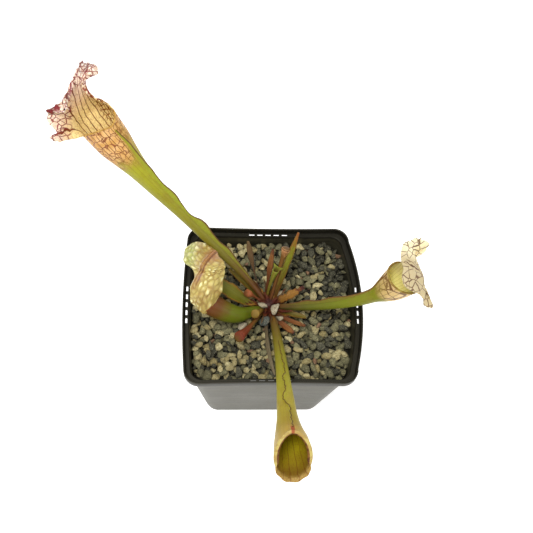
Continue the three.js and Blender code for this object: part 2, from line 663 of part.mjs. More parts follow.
// Joins many solids in pairs, so that no single join grows large.
function joinAll(solids) {
  let left = solids;
  while (left.length > 1) {
    const joined = [];
    for (let i = 0; i < left.length; i += 2) {
      joined.push(i + 1 < left.length ? left[i].add(left[i + 1]) : left[i]);
    }
    left = joined;
  }
  return left[0];
}

function gritSolid() {
  const random = mulberry(STONE_SEED);
  const reach = wallHalf(GRIT_TOP);
  const stones = [];
  const rows = Math.round((2 * reach) / (STONE_PITCH * 0.87));
  for (let i = 0; i <= rows; i++) {
    for (let j = 0; j <= rows; j++) {
      const x = (j + (i % 2) * 0.5 - rows / 2) * STONE_PITCH + (random() - 0.5) * 1.8;
      const y = (i - rows / 2) * STONE_PITCH * 0.87 + (random() - 0.5) * 1.8;
      const size = THREE.MathUtils.lerp(STONE_RADIUS[0], STONE_RADIUS[1], random());
      const z = GRIT_TOP + (random() - 0.5) * 0.9 - 0.3;
      if (Math.max(Math.abs(x), Math.abs(y)) > reach - 1) continue;
      if (Math.hypot(x - CROWN.centre[0], y - CROWN.centre[1]) < CROWN.radii[0] + 1) continue;
      stones.push(lumpSolid([x, y, z], [size, size * 0.78, size * 0.62], 0, 0.14, random));
    }
  }
  const slab = innerFill(MIX_TOP + CLEARANCE, GRIT_TOP, CLEARANCE);
  const inside = innerFill(MIX_TOP + CLEARANCE, POT_HEIGHT - LEDGE_DROP, CLEARANCE);
  return slab.add(joinAll(stones)).intersect(inside);
}

const crownSolid = (grow) =>
  lumpSolid(CROWN.centre, CROWN.radii.map((r) => r + grow), 1, 0, mulberry(3));

// A copy of a leaf that is larger all round by the clearance, to trim what nestles against it.
function grown(leaf) {
  const widen = (pairs) => pairs.map(([t, v]) => [t, v + CLEARANCE]);
  return {
    ...leaf,
    ...(leaf.radii && { radii: widen(leaf.radii) }),
    ...(leaf.widths && { widths: widen(leaf.widths) }),
  };
}

function largestPiece(solid) {
  const pieces = solid.decompose();
  return pieces.reduce((best, piece) => (piece.volume() > best.volume() ? piece : best));
}

function meshOf(name, solid, colour) {
  const { vertProperties, triVerts, numProp, numVert } = solid.getMesh();
  const places = new Float32Array(numVert * 3);
  for (let i = 0; i < numVert; i++) {
    places.set(vertProperties.subarray(i * numProp, i * numProp + 3), i * 3);
  }
  const geometry = new THREE.BufferGeometry();
  geometry.setAttribute("position", new THREE.BufferAttribute(places, 3));
  geometry.setIndex(new THREE.BufferAttribute(new Uint32Array(triVerts), 1));
  geometry.computeVertexNormals();
  const [tint, roughness] = COLOURS[colour];
  const material = new THREE.MeshStandardMaterial({ color: tint, roughness, metalness: 0 });
  const mesh = new THREE.Mesh(geometry, material);
  mesh.name = name;
  return mesh;
}

// Leaves are laid one after another, and each is trimmed where it nestles against those before it.
function plantMeshes() {
  const meshes = [meshOf("crown", crownSolid(0), "crown")];
  const keepClear = [crownSolid(CLEARANCE)];
  const lay = (name, solid, around, colour) => {
    let trimmed = solid;
    for (const other of keepClear) trimmed = trimmed.subtract(other);
    meshes.push(meshOf(name, largestPiece(trimmed), colour));
    keepClear.push(around);
  };
  for (const [name, pitcher] of Object.entries(PITCHERS)) {
    lay(name, pitcherSolid(pitcher, 0), pitcherSolid(pitcher, CLEARANCE), pitcher.colour);
  }
  for (const [name, leaf] of Object.entries(YOUNG_PITCHERS)) {
    const pitcher = youngPitcher(leaf);
    lay(name, pitcherSolid(pitcher, 0), pitcherSolid(pitcher, CLEARANCE), leaf.colour);
  }
  for (const [name, leaf] of Object.entries(BLADES)) {
    lay(name, bladeSolid(leaf, 0), bladeSolid(grown(leaf), CLEARANCE), leaf.colour);
  }
  return meshes;
}

const plant = new THREE.Group();
plant.add(meshOf("pot", potSolid(), "pot"));
plant.add(meshOf("potting_mix", mixSolid(), "potting_mix"));
plant.add(meshOf("grit_dressing", gritSolid().subtract(crownSolid(CLEARANCE)), "grit"));
plant.add(...plantMeshes());

export default plant;
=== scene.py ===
"""Velvet pitcher plant in a square nursery pot: the dressed model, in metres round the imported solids."""

import math

import bmesh
import bpy
import numpy as np
from mathutils import Matrix


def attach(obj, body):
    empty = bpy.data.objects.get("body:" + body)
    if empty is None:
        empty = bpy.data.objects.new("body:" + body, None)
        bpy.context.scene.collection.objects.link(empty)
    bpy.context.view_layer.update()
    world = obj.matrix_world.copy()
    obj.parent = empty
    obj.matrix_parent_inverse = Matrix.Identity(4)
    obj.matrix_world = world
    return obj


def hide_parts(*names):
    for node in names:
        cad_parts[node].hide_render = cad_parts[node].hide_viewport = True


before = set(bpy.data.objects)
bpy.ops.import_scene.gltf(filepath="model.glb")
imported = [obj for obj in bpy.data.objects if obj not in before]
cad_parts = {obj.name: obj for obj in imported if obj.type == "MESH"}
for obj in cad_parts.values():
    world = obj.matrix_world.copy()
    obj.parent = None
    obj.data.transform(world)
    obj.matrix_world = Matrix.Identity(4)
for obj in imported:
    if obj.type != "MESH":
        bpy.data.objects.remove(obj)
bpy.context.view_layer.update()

# All tables are in millimetres, in the part's own frame: X right, Y back, Z up.
MM = 0.001
TURN = 2 * math.pi
UP = np.array([0.0, 0.0, 1.0])

# The pot
RIM_WIDTH = 90
POT_HEIGHT = 90
BASE_WIDTH = 70.7
SKIRT_HEIGHT = 5
SKIRT_WALL = 1
LEDGE_DROP = 4
WALL = 1.2
UNDER_LEDGE_WIDTH = 85.4
RIM_CORNER = 8
INNER_CORNER = 6.5
BULGE = {"back": -0.5, "left": 1.5, "front": -0.6, "right": 4.9}
SLOT_COUNT = 5
SLOT_LENGTH = 3
SLOT_PITCH = 4.6
SLOT_WIDTH = 1
SLOT_DEPTH = 4
SLOT_FROM_CENTRE = 43
DRAIN_RADIUS = 4
DRAIN_RING = 21
DRAIN_COUNT = 8
DRAIN_DEPTH = 6
POT_CREASE = 35
EDGE_SOFTENING = 0.4
CORNER_STEPS = 14
SIDE_STEPS = 16

# What fills the pot
GRIT_TOP = 79.4
CROWN_CENTRE = (-0.5, 0.6, 79.6)
CROWN_RADII = (5.6, 5.4, 5.4)

# The photograph's camera
CAMERA_PLACE = (-24.6, -150.0, 446.8)
CAMERA_HEADING = 7.695
CAMERA_TILT = 64.208
CAMERA_ROLL = 7.4
FOCAL_PIXELS = 726.3
PICTURE_PIXELS = 533
SENSOR_WIDTH = 36

# Each large pitcher: path is the four handles of its centre line, radii are [share of length, radius],
# oval stretches the mouth towards the upper side, and rim is [degrees round the mouth, lift along the
# tube], where 0 is the upper side and a minus lift lowers the lip. wing is the blade along the upper
# side as [share of length, height, lean in degrees], and lip is the rolled rim's half width, half
# height and shift inwards between lip_ends, in degrees. A hood's arcs are how far its foot reaches
# round the back of the mouth each way, in radians. Its margin is its outer edge and its waist is where
# its middle passes, which bow moves to the upper side and along the tube. ruffle and frill are how high
# its broad and fine waves are, and ragged is where its margin is frilled and torn into teeth.
PITCHERS = {
    "pitcher_tall": {
        "path": [(-2, 3, 82), (-20.5, 23.5, 102), (-57.5, 34.5, 135), (-83.8, 54.8, 174)],
        "radii": [
            (0, 1.5), (0.2, 2), (0.32, 2.5), (0.45, 2.6), (0.6, 3), (0.72, 4.2), (0.8, 5.3), (0.86, 6.8),
            (0.92, 8.4), (1, 9.2),
        ],
        "rim": [
            (-180, -1), (-105, -3.5), (-75, -2.8), (-45, -3), (-15, -4.3), (0, -5), (30, -3.5),
            (60, -1.5), (90, 0.5), (130, 0.5), (180, -1),
        ],
        "upper": (0, 0, 1), "oval": 1.05, "hollow_from": 0.58,
        "wing": [
            (0.12, 0.3, 60), (0.2, 1.2, 60), (0.27, 1.6, 60), (0.33, 2.6, 60), (0.38, 1.8, 60),
            (0.42, 2.2, 60), (0.49, 3.4, 60), (0.55, 1.2, 60), (0.6, 2, 60), (0.645, 3, 60), (0.7, 2, 60),
            (0.78, 2.5, 60), (0.85, 2, 50), (0.92, 1.6, 40), (0.985, 1, 20),
        ],
        "wing_wave": 0.25, "lip": (0.45, 0.45, 0), "lip_ends": (-105, 60),
        "hood": {
            "arcs": (1.3, 2.1), "bow": (-1.2, 0.3), "ruffle": 0.5, "frill": 0.9, "teeth": 0.11,
            "ragged": [
                (-1, 1), (-0.9, 1.7), (-0.35, 1.7), (-0.2, 0), (0, 0), (0.1, 1), (0.5, 1), (0.6, 0),
                (1, 0),
            ],
            "waist": [
                (-92, 44.9, 173), (-93.3, 43.5, 175), (-94.1, 44.3, 176), (-94.1, 46.9, 177),
                (-94.7, 49.9, 178), (-94.2, 53.6, 179), (-93.9, 56.7, 180), (-93.2, 59.4, 181.5),
                (-91.8, 61, 183), (-90.7, 61.7, 184), (-89.7, 61.7, 185), (-88.8, 61.9, 185.5),
                (-88, 61.8, 186), (-87.3, 61.8, 186), (-86.8, 61.9, 185.5), (-86.3, 61.7, 184.5),
                (-85.3, 60.4, 183), (-82.2, 59.8, 181), (-77.5, 59.8, 178), (-80.5, 60.9, 178.5),
                (-77, 60.2, 177.2),
            ],
            "margin": [
                (-93.5, 43.9, 174), (-96.9, 39.3, 177), (-101, 38.9, 180), (-97.8, 41.9, 180),
                (-101.5, 46, 183), (-101.8, 48.7, 184), (-95, 52.1, 183), (-94.5, 54.6, 184),
                (-92.1, 58.9, 187), (-90.6, 64.8, 190), (-90.4, 68.7, 191), (-88.4, 68.4, 189.5),
                (-89.2, 72.4, 191), (-85.8, 73.2, 191), (-82.8, 71.7, 189.5), (-83.2, 69.2, 187),
                (-86.7, 67, 187.5), (-86.6, 63.8, 186), (-84.6, 60.1, 183), (-80, 59.6, 181.5),
                (-77.3, 59.3, 178.8),
            ],
        },
    },
    "pitcher_right": {
        "path": [(3, 0.6, 82), (12.5, -4, 92), (50, -9, 102), (62.2, -6, 136)],
        "radii": [
            (0, 1.5), (0.2, 1.9), (0.5, 2.4), (0.7, 3.3), (0.78, 3.9), (0.84, 5.6), (0.9, 7.2), (1, 8.8),
        ],
        "rim": [(-180, 0), (0, -1.5), (180, 0)], "upper": (-0.4, 0.1, 0.9), "oval": 1.05,
        "hollow_from": 0.66,
        "wing": [
            (0.12, 0.3, -50), (0.25, 1.2, -50), (0.33, 2.2, -50), (0.42, 1.6, -50), (0.5, 2.4, -50),
            (0.6, 1.6, -50), (0.75, 1, -50), (0.9, 0.9, -40), (0.985, 0.6, -30),
        ],
        "wing_wave": 0.2, "lip": (0.5, 0.55, 0), "lip_ends": (-77, 148),
        "hood": {
            "arcs": (1.8, 0.55), "bow": (0, 2.4), "ruffle": 0.5, "frill": 0.5, "teeth": 0.17,
            "ragged": [(-1, 0.5), (-0.9, 1), (-0.5, 1), (-0.4, 0.15), (0.2, 0.15), (0.4, 0.4), (1, 0.6)],
            "margin": [
                (67.5, -1.2, 144), (70.4, 3.9, 145), (71.7, 6.8, 146), (67.2, 8.3, 148.5), (62.1, 6, 150),
                (58.8, 3.8, 150), (57.1, -2, 148.5), (57.8, -7.1, 148), (57.4, -11.7, 148),
                (58.1, -15.5, 147.5), (61, -17.8, 146), (66.5, -17.1, 140), (69, -18.9, 138),
                (69.6, -20.9, 136), (73.2, -20.8, 135), (70.4, -14.3, 137.5), (69, -9.8, 138.5),
            ],
        },
    },
    "pitcher_front": {
        "path": [(1, -3, 82), (6.2, -31, 92), (4.8, -58, 104), (5.6, -87.6, 130)],
        "radii": [
            (0, 1.6), (0.25, 2.6), (0.45, 3.2), (0.65, 4.2), (0.8, 5.2), (0.9, 6.9), (0.96, 8.1),
            (1, 8.4),
        ],
        "rim": [(-180, 2.7), (-90, 2.5), (-45, 1), (0, -1), (45, 1), (90, 2.5), (180, 2.7)],
        "upper": (0, 0, 1), "oval": 1.38, "hollow_from": 0.58,
        "wing": [
            (0.25, 0.3, 0), (0.4, 1.1, -10), (0.5, 1.3, -20), (0.55, 1.4, 20), (0.62, 1.4, 0),
            (0.71, 1.3, 60), (0.77, 1.2, -25), (0.83, 1.1, -20), (0.985, 0.6, -10),
        ],
        "wing_wave": 0.65, "lip": (1.2, 0.85, 0.8), "lip_ends": (-111, 111),
        "hood": {
            "arcs": (1.2, 1.2), "bow": (-0.3, 0), "ruffle": 0.3, "frill": 0.3, "teeth": 0.25,
            "ragged": [(-1, 1), (1, 1)],
            "margin": [
                (14, -93.5, 129.6), (12.1, -96.3, 126.6), (9.3, -98.1, 124.6), (5.9, -98.8, 123.9),
                (2.5, -98.3, 124.6), (-0.4, -96.6, 126.6), (-2.4, -94, 129.6),
            ],
        },
    },
    "pitcher_left": {
        "path": [(-3, -1, 82.5), (-14.5, -4, 86), (-16, -11.5, 88), (-32.8, -4.5, 100)],
        "radii": [(0, 1.7), (0.2, 2.7), (0.4, 3.6), (0.65, 4.9), (0.85, 5.6), (1, 5.9)],
        "rim": [(-180, 0), (0, -0.5), (180, 0)], "upper": (0, 0, 1), "oval": 1.05, "hollow_from": 0.6,
        "lip": (0.5, 0.5, 0), "lip_ends": (-110, 110),
    },
}

# The folded lid of the left pitcher, as rows of places across it from its foot to its far edge.
LEFT_LID = [
    [(-40.3, -6.9, 103), (-37.5, -9.1, 101), (-34.7, -10.7, 99.5), (-31.4, -9.6, 101), (-28.8, -6.8, 103.5)],
    [(-41.5, -6.9, 112), (-37.9, -7.2, 114), (-33.9, -5.8, 116), (-29.5, -4.8, 115), (-25.6, -1.5, 110)],
    [(-40.1, 1.4, 113), (-37, 0.8, 118), (-33, 1, 119), (-28.6, 2.5, 117), (-24.6, 7, 112)],
    [(-39.6, 7.2, 112), (-36.1, 5.2, 117), (-32.8, 3.3, 121), (-28.9, 4.5, 119), (-24.3, 8.6, 114)],
    [(-44.7, 13.9, 108), (-40.3, 10.4, 114), (-35.6, 6.6, 121), (-30.1, 7.1, 120), (-24.7, 10.7, 115)],
    [(-45.5, 19.6, 107), (-42.1, 17.7, 112), (-37.8, 14.1, 118), (-33.3, 13.6, 118), (-27.8, 15.2, 115)],
    [(-43.6, 24.8, 106), (-40.9, 25.5, 108), (-37.7, 25.1, 110), (-34.1, 23.5, 111), (-30.4, 20.7, 112)],
]

# The mouth of a closed one is covered by its little hood, and a lobed hood ends in two points.
YOUNG_PITCHERS = {
    "young_pitcher_back": {
        "path": [(0.5, 3.4, 83), (3.3, 11.4, 93), (5.5, 18.3, 101), (7.9, 23, 107)],
        "radii": [(0, 1.1), (0.6, 1), (0.85, 1.5), (1, 2.4)], "skin": "young_peach", "closed": True,
    },
    "young_pitcher_green": {
        "path": [(-1.4, 4.6, 83), (-0.9, 7.9, 89), (1, 11.6, 94), (2.9, 14.5, 99)],
        "radii": [(0, 0.8), (0.6, 0.9), (1, 1.7)], "skin": "young_green", "lobed": True,
    },
    "young_pitcher_pink": {
        "path": [(-3.9, 2.8, 83), (-6.7, 3.9, 86), (-9.6, 3.9, 90), (-12.4, 3.3, 94)],
        "radii": [(0, 0.8), (0.65, 1), (0.85, 1.8), (1, 1.9)], "skin": "young_pink", "closed": True,
    },
    "young_pitcher_red": {
        "path": [(-3.4, -3, 83), (-7.4, -8.8, 86), (-11.9, -15.8, 91), (-16.7, -22.1, 96)],
        "radii": [(0, 1), (0.4, 1.1), (0.75, 1.8), (1, 2.8)], "skin": "young_red", "closed": True,
    },
    "young_pitcher_yellow": {
        "path": [(-3.4, -1.3, 83), (-5.2, -3.7, 86), (-7, -6.4, 90), (-8.2, -8.2, 93)],
        "radii": [(0, 1), (0.6, 1.5), (1, 2.2)], "skin": "young_yellow", "closed": True,
    },
}

# Flat leaves: widths are [share of length, half width], fold is how far the sides rise for each half
# width, and torn is how uneven the edges are.
BLADES = {
    "leaf_left": {
        "path": [(-6.1, 0.5, 83), (-13.2, -0.4, 88.5), (-20.3, 3, 96), (-29, 5.6, 101)],
        "widths": [(0, 1.1), (0.2, 1.5), (0.4, 2.8), (0.65, 4), (1, 3.8)], "fold": 0.45,
        "skin": "blade_bright",
    },
    "leaf_back": {
        "path": [(2.1, 4, 83), (6.4, 12.3, 95), (10.6, 21.1, 105), (14.2, 29.7, 113)],
        "widths": [(0, 1.1), (0.4, 1.5), (0.75, 1.4), (1, 0.4)], "fold": 0.6, "skin": "blade_green",
    },
    "leaf_orange_brown": {
        "path": [(-1.7, 5.8, 83), (-1.4, 10.4, 90), (-0.2, 17.4, 98), (1.4, 25.5, 102)],
        "widths": [(0, 0.6), (0.4, 0.7), (0.7, 1.5), (1, 0.5)], "fold": 0.4, "skin": "blade_rust",
    },
    "leaf_withered_tall": {
        "path": [(-3.8, 5.8, 83), (-7.5, 11.4, 93), (-10.4, 17.7, 102), (-12.2, 27, 108)],
        "widths": [(0, 0.5), (0.55, 0.5), (0.72, 1.3), (0.9, 1.3), (1, 0.5)], "fold": 0.5,
        "skin": "blade_brown",
    },
    "leaf_olive": {
        "path": [(-4.4, 4, 83), (-9.4, 8.1, 87), (-14.4, 11.6, 91), (-22, 17.3, 94)],
        "widths": [(0, 0.9), (0.4, 1.3), (0.75, 1.5), (1, 0.5)], "fold": 0.4, "skin": "blade_olive",
    },
    "leaf_golden": {
        "path": [(2.6, 2.4, 83), (6.2, 2.8, 86), (10.9, 3.9, 89), (18.3, 7.9, 92)],
        "widths": [(0, 0.8), (0.4, 1.9), (0.7, 2.1), (1, 0.7)], "fold": 0.35, "skin": "blade_golden",
        "torn": 0.42,
    },
    "strap_upper": {
        "path": [(2.8, -2.2, 83.5), (7.7, -4.2, 85.5), (13.5, -6, 86.5), (19.4, -7.4, 86.5)],
        "widths": [(0, 0.9), (0.5, 1.3), (0.8, 1.3), (1, 0.7)], "fold": 0.3, "skin": "blade_olive",
    },
    "strap_lower": {
        "path": [(2.4, -3.6, 83), (7.2, -7.2, 84.6), (13, -10, 85.6), (18.9, -11.8, 85.2)],
        "widths": [(0, 0.8), (0.5, 1.1), (0.8, 1.1), (1, 0.6)], "fold": 0.3, "skin": "blade_rust",
    },
    "leaf_orange": {
        "path": [(1.8, -4.4, 83), (4.9, -9, 84.2), (8.8, -13, 85.2), (12.6, -15.8, 85.2)],
        "widths": [(0, 0.8), (0.5, 1.5), (0.8, 1.6), (1, 0.7)], "fold": 0.3, "skin": "blade_rust",
    },
    "leaf_dry_front": {
        "path": [(-1.8, -6, 83.4), (-2.4, -17.7, 84.8), (-1.2, -28.5, 84.9), (2, -38.8, 84.9)],
        "widths": [(0, 0.6), (0.3, 0.9), (0.7, 1), (1, 0.5)], "fold": 0.3, "skin": "blade_dry",
        "torn": 0.15,
    },
}


# Shader helpers


def tint(red, green, blue):
    """A colour named by its eye values from 0 to 255, as the shader's light values."""
    light = []
    for value in (red, green, blue):
        share = value / 255
        light.append(share / 12.92 if share <= 0.04045 else ((share + 0.055) / 1.055) ** 2.4)
    return (*light, 1.0)


class Wire:
    """A shader socket that adds a Math node where it is reckoned with."""

    def __init__(self, shader, socket):
        self.shader = shader
        self.socket = socket

    def reckon(self, operation, first, second=0.0):
        return self.shader.node("ShaderNodeMath", {"operation": operation}, {0: first, 1: second})

    def __add__(self, other):
        return self.reckon("ADD", self, other)

    def __radd__(self, other):
        return self.reckon("ADD", other, self)

    def __sub__(self, other):
        return self.reckon("SUBTRACT", self, other)

    def __rsub__(self, other):
        return self.reckon("SUBTRACT", other, self)

    def __mul__(self, other):
        return self.reckon("MULTIPLY", self, other)

    def __rmul__(self, other):
        return self.reckon("MULTIPLY", other, self)

    def __truediv__(self, other):
        return self.reckon("DIVIDE", self, other)

    def __abs__(self):
        return self.reckon("ABSOLUTE", self)

    def fraction(self):
        return self.reckon("FRACT", self)

    def cosine(self):
        return self.reckon("COSINE", self)

    def highest(self, other):
        return self.reckon("MAXIMUM", self, other)

    def ease(self, low, high):
        """0 below low and 1 above high, smooth between them."""
        settings = {"interpolation_type": "SMOOTHSTEP"}
        values = {"Value": self, "From Min": low, "From Max": high}
        return self.shader.node("ShaderNodeMapRange", settings, values)


class Shader:
    """A material with one Principled surface, made from expressions."""

    def __init__(self, name):
        self.material = bpy.data.materials.new(name)
        self.material.use_nodes = True
        self.tree = self.material.node_tree
        self.tree.nodes.clear()
        self.colour = None

    def node(self, kind, settings=None, values=None, output=0):
        """Adds a node and gives one of its outputs. A value is a number, a colour or a wire."""
        made = self.tree.nodes.new(kind)
        for name, value in (settings or {}).items():
            if name == "stops":
                set_stops(made.color_ramp, value)
            else:
                setattr(made, name, value)
        for key, value in (values or {}).items():
            if isinstance(value, Wire):
                self.tree.links.new(value.socket, made.inputs[key])
            else:
                made.inputs[key].default_value = value
        return None if output is None else Wire(self, made.outputs[output])

    def mix(self, share, first, second):
        """The first colour where the share is 0, and the second where it is 1."""
        settings = {"data_type": "RGBA"}
        return self.node("ShaderNodeMix", settings, {0: share, 6: first, 7: second}, 2)

    def paint(self, share, colour):
        """Lays a colour over what the surface has so far, in full where the share is 1."""
        self.colour = self.mix(share, self.colour, colour)

    def ramp(self, share, stops):
        return self.node("ShaderNodeValToRGB", {"stops": stops}, {"Fac": share})

    def joined(self, x, y, z=0.0):
        return self.node("ShaderNodeCombineXYZ", None, {"X": x, "Y": y, "Z": z})

    def split(self, vector):
        return [self.node("ShaderNodeSeparateXYZ", None, {"Vector": vector}, k) for k in range(3)]

    def shares(self):
        """The surface's own coordinates: along and across it."""
        along, across, _ = self.split(self.node("ShaderNodeUVMap", {"uv_map": "shares"}))
        return along, across

    def place(self):
        """The place in millimetres."""
        object_place = self.node("ShaderNodeTexCoord", None, None, 3)
        settings = {"operation": "SCALE"}
        return self.node("ShaderNodeVectorMath", settings, {"Vector": object_place, "Scale": 1 / MM})

    def noise(self, vector, scale, detail=3.0, roughness=0.55):
        values = {"Vector": vector, "Scale": scale, "Detail": detail, "Roughness": roughness}
        return self.node("ShaderNodeTexNoise", None, values)

    def cells(self, vector, scale, feature="DISTANCE_TO_EDGE"):
        values = {"Vector": vector, "Scale": scale}
        return self.node("ShaderNodeTexVoronoi", {"feature": feature}, values)

    def bump(self, height, strength, distance):
        values = {"Height": height, "Strength": strength, "Distance": distance}
        return self.node("ShaderNodeBump", None, values)

    def surface(self, values):
        principled = self.node("ShaderNodeBsdfPrincipled", None, values)
        self.node("ShaderNodeOutputMaterial", None, {"Surface": principled}, None)
        return self.material

    def painted(self, roughness, normal, others=None):
        """The surface with the colour that was painted on it."""
        values = {"Base Color": self.colour, "Roughness": roughness, "Normal": normal}
        return self.surface(values | (others or {}))


def set_stops(ramp, stops):
    """A colour ramp's stops, as (place, colour)."""
    while len(ramp.elements) > 1:
        ramp.elements.remove(ramp.elements[-1])
    ramp.elements[0].position = stops[0][0]
    ramp.elements[0].color = stops[0][1]
    for place, colour in stops[1:]:
        ramp.elements.new(place).color = colour


# Curves and grids


def unit(vectors):
    """Vectors brought to length 1."""
    return vectors / np.maximum(np.linalg.norm(vectors, axis=-1, keepdims=True), 1e-9)


def cubic(a, b, c, d, t):
    """Places on the curve with these four handles."""
    return a * (1 - t) ** 3 + 3 * b * t * (1 - t) ** 2 + 3 * c * t**2 * (1 - t) + d * t**3


def bezier(path, t):
    """Places and directions of travel on a four-handle curve."""
    a, b, c, d = (np.array(p, float) for p in path)
    t = np.asarray(t, float)[..., None]
    travel = 3 * (b - a) * (1 - t) ** 2 + 6 * (c - b) * t * (1 - t) + 3 * (d - c) * t**2
    return cubic(a, b, c, d, t), unit(travel)


def frame_at(path, t, hint=(0, 0, 1)):
    """Places on a curve, with the directions along it, to its upper side and across it."""
    place, along = bezier(path, t)
    hint = np.array(hint, float)
    upper = unit(hint - along * (along @ hint)[..., None])
    return place, along, upper, np.cross(along, upper)


def value_at(rows, t, column=1):
    """A smooth reading of a table whose first column is a share, with no corner at a row."""
    shares = np.array([row[0] for row in rows], float)
    values = np.array([row[column] for row in rows], float)
    slopes = np.gradient(values, shares)
    t = np.clip(np.asarray(t, float), shares[0], shares[-1])
    k = np.clip(np.searchsorted(shares, t, side="right") - 1, 0, len(rows) - 2)
    width = shares[k + 1] - shares[k]
    s = (t - shares[k]) / width
    start = values[k] * (1 + 2 * s) * (1 - s) ** 2 + values[k + 1] * s * s * (3 - 2 * s)
    return start + width * (slopes[k] * s * (1 - s) ** 2 + slopes[k + 1] * s * s * (s - 1))


def smooth(low, high, t):
    """0 below low and 1 above high, smooth between them."""
    s = np.clip((np.asarray(t, float) - low) / (high - low), 0, 1)
    return s * s * (3 - 2 * s)


def places_along(places, t):
    """Places on the smooth curve through a list of places, at shares t of its spans."""
    p = np.array(places, float)
    p = np.vstack([2 * p[0] - p[1], p, 2 * p[-1] - p[-2]])
    spans = len(places) - 1
    t = np.clip(np.asarray(t, float), 0, 1) * spans
    k = np.minimum(t.astype(int), spans - 1)
    s = (t - k)[:, None]
    p0, p1, p2, p3 = (p[k + n] for n in range(4))
    start = 0.5 * (p2 - p0)
    end = 0.5 * (p3 - p1)
    cube = 2 * p1 - 2 * p2 + start + end
    square = -3 * p1 + 3 * p2 - 2 * start - end
    return cube * s**3 + square * s**2 + start * s + p1


def waver(t, seed, waves=5, reach=3.0):
    """A gentle irregular wave between about -1 and 1."""
    random = np.random.default_rng(seed)
    total = np.zeros(np.shape(t))
    for k in range(1, waves + 1):
        total += np.sin(np.asarray(t) * k * reach + random.uniform(0, TURN)) / k**0.6
    return total / waves**0.6


def turns(count):
    """Even angles once round."""
    return np.arange(count) / count * TURN


def normals(grid):
    """The way that each place of a grid faces."""
    return unit(np.cross(np.gradient(grid, axis=0), np.gradient(grid, axis=1)))


def spread(along, across):
    """Shares along and across a grid, as two whole grids."""
    return np.broadcast_arrays(along[:, None] if along.ndim == 1 else along, across)


def beside_line(x, y, start, end):
    """How far places are aside of a line seen from above, and how far along it, in millimetres."""
    length = math.dist(start, end)
    way = [(end[k] - start[k]) / length for k in range(2)]
    aside = (x - start[0]) * way[1] - (y - start[1]) * way[0]
    along = (x - start[0]) * way[0] + (y - start[1]) * way[1]
    return aside, along


# Meshes


class Shape:
    """Points, faces and shares gathered into one mesh."""

    def __init__(self):
        self.points = []
        self.faces = []
        self.shares = []
        self.finishes = []
        self.count = 0

    def add(self, points, faces, shares, finish=0):
        """Adds points with the faces between them, the shares at each face's corners and their finish."""
        points = np.asarray(points, float).reshape(-1, 3)
        faces = np.asarray(faces, int) + self.count
        self.points.append(points)
        self.faces.append(faces)
        self.shares.append(np.asarray(shares, float))
        self.finishes.append(np.broadcast_to(finish, len(faces)))
        self.count += len(points)

    def add_grid(self, grid, along, across, closed=False, finish=0, flip=False):
        """A grid of places. A closed one joins its last column to its first."""
        rows, columns = grid.shape[:2]
        along, across = spread(along, across)
        i, j = np.meshgrid(np.arange(rows - 1), np.arange(columns - (not closed)), indexing="ij")
        i, j = i.ravel(), j.ravel()
        corners = [(i, j), (i, j + 1), (i + 1, j + 1), (i + 1, j)]
        if flip:
            corners.reverse()
        faces = [row * columns + column % columns for row, column in corners]
        shares = [np.stack([along[corner], across[corner]], 1) for corner in corners]
        self.add(grid, np.stack(faces, 1), np.stack(shares, 1), finish)

    def mesh(self, name):
        """The mesh in metres. A finish is the number of a face's material."""
        points = np.vstack(self.points) * MM
        faces = [tuple(face) for block in self.faces for face in block.tolist()]
        mesh = bpy.data.meshes.new(name)
        mesh.from_pydata(points.tolist(), [], faces)
        layer = mesh.uv_layers.new(name="shares")
        flat = np.concatenate([block.reshape(-1, 2) for block in self.shares])
        layer.data.foreach_set("uv", flat.ravel())
        mesh.polygons.foreach_set("material_index", np.concatenate(self.finishes).astype(np.int32))
        mesh.polygons.foreach_set("use_smooth", np.ones(len(faces), bool))
        mesh.update()
        return mesh


def add_object(name, data):
    """Puts an object with this data in the scene."""
    made = bpy.data.objects.new(name, data)
    bpy.context.scene.collection.objects.link(made)
    return made


def piece(name, shape, materials, nodes):
    """Makes a mesh object that stands for one or more nodes of the part."""
    mesh = shape.mesh(name) if isinstance(shape, Shape) else shape
    for material in materials:
        mesh.materials.append(material)
    made = add_object(name, mesh)
    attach(made, "root")
    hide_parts(*nodes)
    return made


def weld(mesh, reach=1e-6):
    """Joins points that lie together, within a reach in metres."""
    made = bmesh.new()
    made.from_mesh(mesh)
    bmesh.ops.remove_doubles(made, verts=made.verts, dist=reach)
    made.to_mesh(mesh)
    made.free()


def sheet(shape, grid, thickness, along=None, across=None):
    """A sheet on a grid of places, with a face on each side and a closed edge."""
    rows, columns = grid.shape[:2]
    along = np.linspace(0, 1, rows) if along is None else along
    across = np.linspace(0, 1, columns) if across is None else across
    along, across = spread(along, across)
    half = normals(grid) * np.broadcast_to(thickness, (rows, columns))[..., None] / 2
    top = grid + half
    bottom = grid - half
    shape.add_grid(top, along, across, flip=True)
    shape.add_grid(bottom, along, across)
    rim = [(0, j) for j in range(columns)]
    rim += [(i, columns - 1) for i in range(1, rows)]
    rim += [(rows - 1, j) for j in range(columns - 2, -1, -1)]
    rim += [(i, 0) for i in range(rows - 2, 0, -1)]
    i, j = np.transpose(rim)
    count = len(rim)
    a = np.arange(count)
    b = (a + 1) % count
    shares = np.stack([along[i, j], across[i, j]], 1)[np.stack([a, b, b, a], 1)]
    shape.add(np.stack([top[i, j], bottom[i, j]]), np.stack([a, b, b + count, a + count], 1), shares)


# Pitchers

